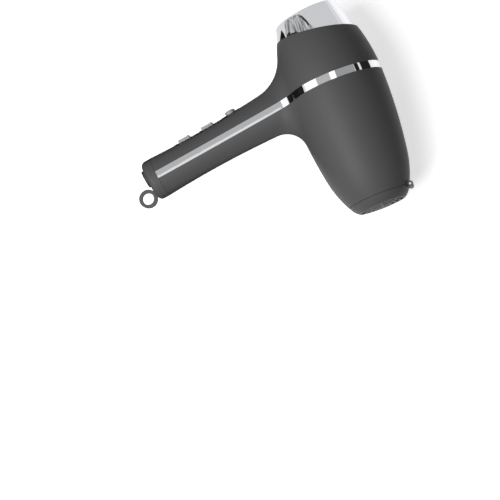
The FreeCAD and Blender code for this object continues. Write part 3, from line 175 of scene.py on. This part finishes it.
bronze, shader, place = start("Bronze, sintered and oiled", "#a5875a", 0.5, metallic=1.0)
pores = speckle(bronze, place, 0.25, detail=4.0)  # oil-filled pores
vary(bronze, shader, pores, ("#7f653f", "#b4966a"), (0.35, 0.62))
emboss(bronze, shader, pores, 0.02)
paint(bronze, "motor_bushes")

carbon, shader, place = start("Carbon, pressed", "#232325", 0.55)
grain = speckle(carbon, place, 0.3, detail=4.0)  # dark, slightly greasy grain
vary(carbon, shader, grain, ("#1b1b1d", "#303033"), (0.4, 0.65))
paint(carbon, "motor_brushes")

phenolic, shader, place = start("Phenolic resin, moulded", "#222020", 0.38, ior=1.6)
grain = speckle(phenolic, place, 1.2, detail=3.0)  # filler shows as faint flow marks
vary(phenolic, shader, grain, ("#1c1a1a", "#2a2726"), (0.3, 0.48))
emboss(phenolic, shader, grain, 0.01)
paint(phenolic, "motor_end_cap")

bright, shader, place = start("Steel screws, zinc-plated", "#b9bbc0", 0.3, metallic=1.0)
grain = speckle(bright, place, 0.3)  # tumbling marks from the plating barrel
vary(bright, shader, grain, roughness=(0.22, 0.4))
emboss(bright, shader, grain, 0.008)
paint(bright, "motor_screws")

# ---------------------------------------------------------------- fan duct
# One moulding carries the motor pocket on seven straight guide vanes. It is glass-filled PBT,
# which stands the heat in front of it.

pbt, shader, place = start("PBT, glass-filled and moulded", "#202022", 0.55, ior=1.57)
grain = speckle(pbt, place, 0.5, detail=3.0)  # spark-eroded mould texture
vary(pbt, shader, grain, ("#1b1b1d", "#28282b"), (0.46, 0.66))
emboss(pbt, shader, grain, 0.02)
paint(pbt, "fan_duct")

# ---------------------------------------------------------------- heater
# Two slotted mica boards cross inside a mica tube. Coiled resistance wire is wound round their edges,
# with a thermostat and a thermal fuse riveted to the level board.

mica, shader, place = start("Mica sheet, pressed", "#b79e76", 0.35, ior=1.58, coat_weight=0.3)
flakes = speckle(mica, place, 2.5, detail=5.0)  # overlapping flakes, pale and brown
vary(mica, shader, flakes, ("#8c7350", "#cdb892"), (0.22, 0.5))
emboss(mica, shader, speckle(mica, place, 0.8, detail=3.0, seed=3.0), 0.02)
paint(mica, "heater_tube", "heater_board_upright", "heater_board_level")

wire, shader, place = start("Nichrome wire, drawn and oxidised", "#6d675f", 0.45, metallic=1.0)
scale = speckle(wire, place, 0.6)  # heat tint, from grey to brown
vary(wire, shader, scale, ("#57504a", "#837d74"), (0.35, 0.55))

RING = Vector(joints["fan_spin"]["pos_m"]) + AHEAD * 0.053  # middle of the plated ring, on the barrel axis
BOARD_HALF = 0.02076
BOARD_TO_COIL = 0.00265  # from the board's edge to the middle of the coil
COIL_RADIUS, COIL_PITCH, COIL_BEND = 0.0011, 0.0011, 0.003
WIRE_RADIUS, WIRE_STEP = 0.00022, 0.0001
COIL_START, QUARTER_STEP, QUARTERS = 0.0029, 0.0025, 12
BEND_STEPS = 6
for number in (0, 1):
    reach = BOARD_HALF + BOARD_TO_COIL
    corners = []
    for quarter in range(QUARTERS + 1):
        turn = math.pi * (quarter / 2 + number)
        corners.append(
            RING + AHEAD * (COIL_START + QUARTER_STEP * quarter)
            + UP * (reach * math.cos(turn)) + SIDE * (reach * math.sin(turn))
        )
    path = [corners[0]]  # from board edge to board edge, with a round bend at each
    for before, corner, after in zip(corners, corners[1:], corners[2:]):
        a = corner + (before - corner).normalized() * COIL_BEND
        b = corner + (after - corner).normalized() * COIL_BEND
        for step in range(BEND_STEPS + 1):
            t = step / BEND_STEPS
            path.append(a * (1 - t) ** 2 + corner * (2 * t * (1 - t)) + b * t**2)
    path.append(corners[-1])
    fine, turned = [], 0.0  # the wire itself, coiled round that path
    for a, b in zip(path, path[1:]):
        forward = (b - a).normalized()
        out = forward.cross(AHEAD).normalized()
        other = forward.cross(out)
        steps = max(1, round((b - a).length / WIRE_STEP))
        for step in range(steps):
            turned += (b - a).length / steps / COIL_PITCH * 2 * math.pi
            centre = a.lerp(b, step / steps)
            fine.append(centre + (out * math.cos(turned) + other * math.sin(turned)) * COIL_RADIUS)
    curve = bpy.data.curves.new(f"heating_wire_{number + 1}", "CURVE")
    curve.dimensions = "3D"
    curve.bevel_depth, curve.bevel_resolution = WIRE_RADIUS, 0
    spline = curve.splines.new("POLY")
    spline.points.add(len(fine) - 1)
    for point, at in zip(spline.points, fine):
        point.co = (*at, 1.0)
    coil = bpy.data.objects.new(curve.name, curve)
    bpy.context.collection.objects.link(coil)
    curve.materials.append(wire)
    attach(coil, "housing")
    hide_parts("heating_coils")

bimetal, shader, place = start("Steel strip, nickel-plated", "#a8a49a", 0.36, metallic=1.0)
grain = speckle(bimetal, place, 0.5)  # rolled strip with a little heat tint
vary(bimetal, shader, grain, ("#978f80", "#b6b3ab"), (0.3, 0.46))
paint(bimetal, "thermostat", "thermal_fuse")

# ---------------------------------------------------------------- outlet sleeve and grille
# A black moulded sleeve sits inside the plated cone and holds the mica tube. Its ring grille
# keeps fingers and hair off the heater.

heatproof, shader, place = start("PPS, moulded", "#18181a", 0.5, ior=1.6)
grain = speckle(heatproof, place, 0.4)  # even matt mould texture
vary(heatproof, shader, grain, ("#141416", "#1f1f22"), (0.42, 0.6))
emboss(heatproof, shader, grain, 0.015)
paint(heatproof, "outlet_sleeve", "outlet_grille")

# ---------------------------------------------------------------- front and rear shells
# Both shells are moulded ABS, sprayed with a dark soft-touch lacquer and screwed together from
# behind. The lacquer is nearly matt, with a wide soft gloss and an even rubbery grain.

soft_touch, shader, place = start("ABS, soft-touch lacquer", "#4a4a4a", 0.5, specular_ior_level=0.15)
grain = speckle(soft_touch, place, 0.45, detail=3.0)  # 0.1 mm in fact, drawn coarser so that it shows
vary(soft_touch, shader, grain, ("#474747", "#4d4d4d"), (0.46, 0.56))
emboss(soft_touch, shader, grain, 0.012)
paint(soft_touch, "front_shell", "rear_shell")

# ---------------------------------------------------------------- trim frame
# The frame between the shells is one ABS moulding with bright decorative chrome. It rings the
# barrel and runs down both sides of the handle, standing 0.3 mm proud.

chrome, shader, place = start("ABS, bright chrome-plated", "#dcdde0", 0.04, metallic=1.0)
waves = speckle(chrome, place, 14.0, detail=1.0)  # slow ripples of the moulding under the plating
emboss(chrome, shader, waves, 0.05)
paint(chrome, "trim_frame")

# ---------------------------------------------------------------- outlet cone
# The tapered nozzle is a second chrome-plated moulding, held in the front shell's raked mouth.
# Its tip leans forward by 4.5 degrees at the top, and its lip is rounded.

CONE_BACK, CONE_TIP, CONE_SLOPE = 0.034, 0.0606, 0.27  # along the barrel axis from the ring, in metres
TIP_RADIUS, CONE_WALL, LIP_ROUND, TIP_RAKE = 0.026577, 0.00176, 0.0008, math.radians(4.5)
NEAR_BACK = CONE_BACK + 0.0005  # points this near the back edge keep the gloss straight up to it
LEAN_FROM, LEAN_MIDDLE, LEAN_TO = 0.0428, 0.049, 0.0559  # points on the straight side that lean with the tip
LIP_STEPS = 8
SEGMENTS = 192
SLANT = math.atan(CONE_SLOPE)


def cone_radius(x):
    """Outer radius of the cone at x."""
    return TIP_RADIUS + (CONE_TIP - x) * CONE_SLOPE


profile = [(x, cone_radius(x), 0) for x in (CONE_BACK, NEAR_BACK)]  # x, radius, whether it leans
profile += [(x, cone_radius(x), 1) for x in (LEAN_FROM, LEAN_MIDDLE, LEAN_TO)]
round_x = CONE_TIP - LIP_ROUND
round_r = cone_radius(round_x) - LIP_ROUND / math.cos(SLANT)
for step in range(LIP_STEPS + 1):  # round the outer edge of the lip
    angle = (math.radians(90) - SLANT) * (1 - step / LIP_STEPS)
    profile.append((round_x + LIP_ROUND * math.cos(angle), round_r + LIP_ROUND * math.sin(angle), 1))
inner_r = cone_radius(CONE_TIP) - CONE_WALL
for step in range(LIP_STEPS + 1):  # and its inner edge
    angle = math.radians(90) * step / LIP_STEPS
    profile.append((round_x + LIP_ROUND * math.cos(angle), inner_r + LIP_ROUND * (1 - math.sin(angle)), 1))
profile += [(x, cone_radius(x) - CONE_WALL, 1) for x in (LEAN_TO, LEAN_FROM)]
profile += [(x, cone_radius(x) - CONE_WALL, 0) for x in (NEAR_BACK, CONE_BACK)]

points, faces = [], []
for step in range(SEGMENTS):
    turn = 2 * math.pi * step / SEGMENTS
    out = UP * math.cos(turn) + SIDE * math.sin(turn)
    lean = math.cos(turn) * math.tan(TIP_RAKE)
    for x, r, leans in profile:
        forward = leans * r * lean / (1 + CONE_SLOPE * lean)  # along the cone's straight side
        points.append(RING + AHEAD * (x + forward) + out * (r - forward * CONE_SLOPE))
count = len(profile)
for step in range(SEGMENTS):
    for i in range(count):
        a, b = step * count + i, step * count + (i + 1) % count
        c, d = (b + count) % (SEGMENTS * count), (a + count) % (SEGMENTS * count)
        faces.append((a, b, c, d))
mesh = bpy.data.meshes.new("plated_cone")
mesh.from_pydata([tuple(p) for p in points], [], faces)
mesh.materials.append(chrome)
mesh.polygons.foreach_set("use_smooth", [True] * len(mesh.polygons))
cone = bpy.data.objects.new("plated_cone", mesh)
bpy.context.collection.objects.link(cone)
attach(cone, "housing")
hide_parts("outlet_cone")

# ---------------------------------------------------------------- guard, filter cap and hinge
# The rear opening has a moulded finger guard, and over it a slotted cap with a fine steel mesh that
# keeps lint out. The cap is lacquered like the shells and swings on a steel pin.

paint(pbt, "intake_guard")
paint(soft_touch, "filter_cap")

woven, shader, place = start("Stainless steel sheet, etched to a mesh", "#a7a8ab", 0.34, metallic=1.0)
roll = stripes(woven, place, SIDE, 0.4)  # rolling direction of the sheet
vary(woven, shader, roll, roughness=(0.28, 0.42))
paint(woven, "filter_mesh")
paint(bright, "filter_hinge_pin")

# ---------------------------------------------------------------- switch panel
# A glossy black moulded insert in the front of the handle carries both slide switches and the cool
# button. Its numbers 0, 1 and 2 are printed in pale grey.

gloss_black, shader, place = start("ABS, high-gloss moulded", "#141416", 0.16, ior=1.53)
handling = speckle(gloss_black, place, 6.0, detail=4.0)  # faint wear from fingers
vary(gloss_black, shader, handling, roughness=(0.12, 0.26))
emboss(gloss_black, shader, speckle(gloss_black, place, 3.0), 0.004)
paint(gloss_black, "switch_panel")

HANDLE_TOP = RING + AHEAD * 0.0038  # where the handle axis meets the barrel axis


def on_handle(f, y, s):
    """A place in handle axes, given in millimetres: forward, to the left, and down from the barrel axis."""
    return HANDLE_TOP + (HANDLE_FRONT * f + SIDE * y - ALONG_HANDLE * s) / 1000


ink, shader, place = start("Pad-printing ink, pale grey", "#c4c4c6", 0.55)
cover = speckle(ink, place, 0.3, detail=3.0)  # slightly uneven cover of the pad print
vary(ink, shader, cover, ("#b4b4b6", "#cecece"), (0.5, 0.65))

PRINT_HEIGHT, PRINT_THICKNESS = 0.0024, 0.00006
PRINT_SIDE = 5.9  # mm to the left of the handle's middle
OUTSIDE = 30.0  # mm in front of the handle axis, from where the print is pressed on the panel
HEAT_OFF, SPEED_OFF, STEP = 105.4, 126.4, 4.0  # stations of both sliders when off, and their steps
panel = frame["nodes"]["switch_panel"]
for switch, off in (("heat", HEAT_OFF), ("speed", SPEED_OFF)):
    for level in range(3):
        font = bpy.data.curves.new("figure", "FONT")
        font.body = str(level)
        font.size, font.align_x, font.align_y = PRINT_HEIGHT, "CENTER", "CENTER"
        figure = bpy.data.objects.new("figure", font)
        bpy.context.collection.objects.link(figure)
        bpy.context.view_layer.update()
        flat = bpy.data.meshes.new_from_object(figure.evaluated_get(bpy.context.evaluated_depsgraph_get()))
        bpy.data.objects.remove(figure)
        for vertex in flat.vertices:
            left, down = PRINT_SIDE + vertex.co.x * 1000, off - STEP * level - vertex.co.y * 1000
            vertex.co = panel.ray_cast(on_handle(OUTSIDE, left, down), -HANDLE_FRONT)[1]
        flat.name = f"{switch}_figure_{level}"
        flat.materials.clear()
        flat.materials.append(ink)
        printed = bpy.data.objects.new(flat.name, flat)
        bpy.context.collection.objects.link(printed)
        thick = printed.modifiers.new("thickness", "SOLIDIFY")
        thick.thickness, thick.offset = PRINT_THICKNESS, 0.5
        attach(printed, "housing")

# ---------------------------------------------------------------- sliders, levers, switches and button
# Grey moulded sliders drive ivory levers inside two black slide switches. The cool button presses
# a small tactile switch and returns on a wire spring.

grey, shader, place = start("ABS, spark-textured grey", "#8b8b8e", 0.48, ior=1.53)
grain = speckle(grey, place, 0.3, detail=3.0)  # fine matt texture under the finger
vary(grey, shader, grain, ("#858588", "#929295"), (0.42, 0.58))
emboss(grey, shader, grain, 0.015)
paint(grey, "heat_slider", "speed_slider", "cool_button")

acetal, shader, place = start("Acetal, moulded ivory", "#dcd7c9", 0.35, ior=1.48)
grain = speckle(acetal, place, 1.5)  # waxy, almost without texture
vary(acetal, shader, grain, ("#d5cfbf", "#e2ddd0"), (0.3, 0.42))
paint(acetal, "heat_lever", "speed_lever")

housing_nylon, shader, place = start("Nylon, moulded black", "#1d1d1f", 0.5, ior=1.53)
grain = speckle(housing_nylon, place, 0.6)  # satin mould finish
vary(housing_nylon, shader, grain, ("#18181a", "#242427"), (0.42, 0.6))
emboss(housing_nylon, shader, grain, 0.012)
paint(housing_nylon, "heat_switch", "speed_switch", "cool_switch")

music_wire, shader, place = start("Music wire, drawn", "#a2a3a8", 0.24, metallic=1.0)
draw = speckle(music_wire, place, 0.4)  # faint drawing marks
vary(music_wire, shader, draw, roughness=(0.18, 0.34))
paint(music_wire, "cool_spring")

# ---------------------------------------------------------------- circuit board
# The switches sit on a glass-epoxy board with green solder resist. Four diodes halve the motor
# voltage and a film capacitor suppresses its sparks.

resist, shader, place = start("Glass epoxy, green solder resist", "#1f5a34", 0.3, ior=1.55)
tracks = add(
    resist, "TexBrick", {"offset": 0.5, "squash": 1.0},
    {"Vector": place, "Scale": 1.0, "Mortar Size": 0.0004, "Brick Width": 0.006, "Row Height": 0.0024},
).outputs["Fac"]  # copper tracks 0.4 mm wide under the resist
vary(resist, shader, tracks, ("#1f5a34", "#2f7446"))
emboss(resist, shader, tracks, 0.035)
paint(resist, "switch_board")

epoxy, shader, place = start("Epoxy, transfer-moulded black", "#1b1b1c", 0.5)
grain = speckle(epoxy, place, 0.4)  # silica filler makes it dull
vary(epoxy, shader, grain, ("#161617", "#232325"), (0.42, 0.6))
paint(epoxy, "rectifier_diodes")

dipped, shader, place = start("Film capacitor case, yellow PBT", "#c9a233", 0.28, ior=1.55)
grain = speckle(dipped, place, 1.5)  # glossy case with slight flow marks
vary(dipped, shader, grain, ("#bf982c", "#d0aa3c"), (0.22, 0.36))
paint(dipped, "capacitor")
paint(bright, "board_screws")

# ---------------------------------------------------------------- leads
# Stranded copper leads in silicone insulation run from the board up into the barrel, two to the
# heater and two to the motor.

silicone, shader, place = start("Silicone insulation, red", "#9a3a2c", 0.5, ior=1.43, sheen_weight=0.1)
lay = speckle(silicone, place, 0.8, detail=3.0)  # talc and handling on the soft skin
vary(silicone, shader, lay, ("#8c3226", "#a64536"), (0.42, 0.6))
paint(silicone, "heater_leads", "motor_leads")

# ---------------------------------------------------------------- handle end
# A soft-touch lacquered cap plugs both shells. A rubber gland guides the cord, and a moulded loop
# hangs on a steel pin.

paint(soft_touch, "handle_end_cap")

rubber, shader, place = start("Chloroprene rubber, moulded", "#1f1f20", 0.7, ior=1.52, sheen_weight=0.1)
bloom = speckle(rubber, place, 1.0, detail=4.0)  # slight grey bloom
vary(rubber, shader, bloom, ("#191919", "#29292b"), (0.6, 0.8))
emboss(rubber, shader, bloom, 0.02)
paint(rubber, "cord_gland")
paint(housing_nylon, "hang_loop", "cord_clamp")
paint(bright, "loop_pin", "clamp_screws")

# ---------------------------------------------------------------- housing screws
# Two recessed self-tapping screws join the shells from behind.

paint(bright, "housing_screws")

# ---------------------------------------------------------------- floor, light and camera
# A white paper floor under one large soft lamp, a little on the handle's side. The paper and the
# background are white for the camera and in reflections, and give the dryer only a little light.

floor_mesh = bpy.data.meshes.new("floor")
floor_mesh.from_pydata([(-4, -4, 0), (4, -4, 0), (4, 4, 0), (-4, 4, 0)], [], [(0, 1, 2, 3)])
floor = bpy.data.objects.new("floor", floor_mesh)
bpy.context.collection.objects.link(floor)
floor_mesh.materials.append(bpy.data.materials.new("Paper backdrop, white"))

world = bpy.data.worlds.new("studio")
bpy.context.scene.world = world


def seen(owner, unseen_value, seen_value):
    """One value for camera, glossy and transmission rays, and another for all other light."""
    ray = add(owner, "LightPath").outputs
    either = add(owner, "Math", {"operation": "ADD"}, {0: ray["Is Camera Ray"], 1: ray["Is Glossy Ray"]})
    any_of = add(owner, "Math", {"operation": "ADD"}, {0: either.outputs[0], 1: ray["Is Transmission Ray"]})
    return add(owner, "MapRange", inputs={0: any_of.outputs[0], 3: unseen_value, 4: seen_value}).outputs[0]


paper = floor_mesh.materials[0]
for owner in (paper, world):
    owner.use_nodes = True
    owner.node_tree.nodes.clear()
albedo = seen(paper, 0.15, 0.86)
grey_level = add(paper, "CombineColor", inputs={0: albedo, 1: albedo, 2: albedo})
matt = add(paper, "BsdfDiffuse", inputs={"Color": grey_level.outputs[0]})
glow = add(paper, "Emission", inputs={"Color": linear("#ffffff"), "Strength": seen(paper, 0.0, 0.68)})
both = add(paper, "AddShader", inputs={0: matt.outputs[0], 1: glow.outputs[0]})
add(paper, "OutputMaterial", inputs={"Surface": both.outputs[0]})
sky = add(world, "Background", inputs={"Color": linear("#ffffff"), "Strength": seen(world, 0.05, 1.0)})
add(world, "OutputWorld", inputs={"Surface": sky.outputs[0]})

AIM = RING + Vector((-0.10929, -0.09643, -0.0228))
AZIMUTH, ELEVATION, ROLL = math.radians(-22.0466), math.radians(80.0824), math.radians(0.79)
DISTANCE = 1.4903
back = Vector(
    (math.sin(AZIMUTH) * math.cos(ELEVATION), -math.cos(AZIMUTH) * math.cos(ELEVATION), math.sin(ELEVATION))
)
right = Vector((math.cos(AZIMUTH), math.sin(AZIMUTH), 0))
ahead_of_view = back.cross(right)
lens = bpy.data.cameras.new("camera")
lens.lens, lens.sensor_width = 135, 36
camera = bpy.data.objects.new("camera", lens)
camera.location = AIM + back * DISTANCE
camera.rotation_mode = "QUATERNION"
camera.rotation_quaternion = Quaternion(back, ROLL) @ (-back).to_track_quat("-Z", "Y")
bpy.context.collection.objects.link(camera)
bpy.context.scene.camera = camera

light = bpy.data.lights.new("soft_lamp", "AREA")
light.shape, light.size, light.energy = "SQUARE", 0.8, 20
holder = bpy.data.objects.new("soft_lamp", light)
stand = -right * 0.6 - ahead_of_view * 0.4 + back * 1.05
holder.location = RING + stand
holder.rotation_mode = "QUATERNION"
holder.rotation_quaternion = (-stand).to_track_quat("-Z", "Y")
holder.visible_camera = False
bpy.context.collection.objects.link(holder)

# ---------------------------------------------------------------- cards and cloth round the set
# Glowing pale and dark panels stand round the dryer as painted reflections: strips bent round the ring, a
# flat grey sheet beside the cone with painted folds, and a dark sheet and a pale sheet just above the floor.
# The camera, the light on other things and the shadows pass through them, so only polished surfaces show
# them.


def card(name, strength, corners, faces, painted_fold_mm=0.0):
    """A glowing pale or dark panel that only polished surfaces see. Given a fold size in millimetres, its
    glow is painted darker and paler in patches about that wide, as painted shade in folds and painted light
    on them.
    """
    mesh = bpy.data.meshes.new(name)
    mesh.from_pydata([tuple(corner) for corner in corners], [], faces)
    material = bpy.data.materials.new(name)
    material.use_nodes = True
    material.node_tree.nodes.clear()
    glow = add(material, "Emission", inputs={"Color": linear("#ffffff"), "Strength": strength})
    if painted_fold_mm:
        place = add(material, "TexCoord").outputs["Object"]
        # noise that paints the shade and light of folds into the glow
        painted_fold_shade = speckle(material, place, painted_fold_mm, detail=3.0, seed=2.0)
        limits = {1: 0.35, 2: 0.65, 3: strength * 0.25, 4: strength * 1.7}  # painted shade in the folds, painted light on them
        painted_fold_glow = add(material, "MapRange", inputs={0: painted_fold_shade, **limits})
        material.node_tree.links.new(painted_fold_glow.outputs[0], glow.inputs["Strength"])
    add(material, "OutputMaterial", inputs={"Surface": glow.outputs[0]})
    mesh.materials.append(material)
    board = bpy.data.objects.new(name, mesh)
    bpy.context.collection.objects.link(board)
    board.visible_camera = board.visible_diffuse = board.visible_shadow = False


def towards(bearing, height):
    """A direction in degrees: its bearing from the camera's right, and its height towards the camera."""
    b, h = math.radians(bearing), math.radians(height)
    return (right * math.cos(b) + ahead_of_view * math.sin(b)) * math.cos(h) + back * math.sin(h)


def strip(name, strength, width, *way, reach=0.6):
    """A strip of card bent round the ring at that reach in metres. Its width and its way are in degrees."""
    aims = [towards(bearing, height) for bearing, height in way]
    corners = []
    for i, aim in enumerate(aims):
        onward = aims[min(i + 1, len(aims) - 1)] - aims[max(i - 1, 0)]
        across = aim.cross(onward).normalized() * math.tan(math.radians(width / 2))
        corners += [RING + (aim + across * side) * reach for side in (-1, 1)]
    faces = [(2 * i, 2 * i + 1, 2 * i + 3, 2 * i + 2) for i in range(len(aims) - 1)]
    card(name, strength, corners, faces)


strip("pale_card_behind", 1.0, 90, (205, 35), (180, 75), (0, 50), reach=0.7)
strip("dark_card_left", 0.02, 26, (190, -4.6), (187, 13.6), reach=0.5)
strip("white_card_left", 1.6, 26, (186, 19), (177, 48))
strip("pale_card_above", 0.6, 24, (176, 49), (150, 62), (130, 69))
strip("white_card_above", 1.6, 18, (128, 70), (95, 68.5))
strip("pale_card_far", 0.8, 24, (140, 36), (118, 42), (94, 38), (70, 24), (57, -2))
strip("grey_card_right", 0.42, 24, (92, 68), (64, 62), (50, 50), (41, 35))
strip("dark_card_right_high", 0.02, 14, (40.7, 34), (38, 24))
strip("dark_card_right_low", 0.02, 14, (36.3, 26), (33.8, 0.5), reach=0.15)

CONE_MIDDLE = RING + AHEAD * 0.053
beside = towards(150, 18)  # the cloth hangs on this side of the cone
across = back.cross(beside).normalized()
upwards = beside.cross(across)
for name, strength, painted_fold_mm, away, outline in (  # away in metres, outlines in mm across and upwards
    # a flat glowing sheet; its folds are painted shade and light
    ("grey_cloth", 0.5, 9.0, 0.12, [
        (48, -42), (58, -46), (67, -50), (65, -40), (37, 17), (2, 57), (-27, 78), (-100, 117),
        (-72, 99), (-54, 87), (-37, 72), (-25, 61), (-18, 50), (-24, 52), (12, 14), (41, -34),
    ]),
    ("dark_card_thin", 0.03, 0.0, 0.119, [
        (-15, 48), (-24, 57), (-42, 76), (-54, 88), (-40, 80), (-26, 65), (-14, 50),
    ]),
    # a dark panel that paints the shade of a fold into the reflection
    ("painted_fold_shadow", 0.03, 0.0, 0.119, [
        (68, -50), (56, -30), (46, -10), (45, -4), (33, 16), (24, 28), (16, 41), (23, 37), (41, 10),
    ]),
):
    middle = CONE_MIDDLE + beside * away
    corners = [middle + (across * x + upwards * y) * 0.001 for x, y in outline]
    card(name, strength, corners, [tuple(range(len(corners)))], painted_fold_mm)

for name, strength, height, outline in (  # outlines in metres to the right of the ring and onward from it
    ("dark_cloth", 0.012, 0.002, [
        (-0.038, 0.012), (-0.08, 0.043), (-0.138, 0.062), (-0.31, 0.087),
        (-0.5, 0.117), (-0.53, -0.1), (-0.2, -0.25), (-0.03, -0.06),
    ]),
    ("pale_paper", 0.92, 0.001, [(-0.04, -0.1), (-0.04, 0.5), (-3, 2), (-3, -0.5)]),
):
    corners = [RING + right * x + ahead_of_view * y for x, y in outline]
    for corner in corners:
        corner.z = height
    card(name, strength, corners, [tuple(range(len(corners)))])

bpy.context.scene.view_settings.view_transform = "Standard"
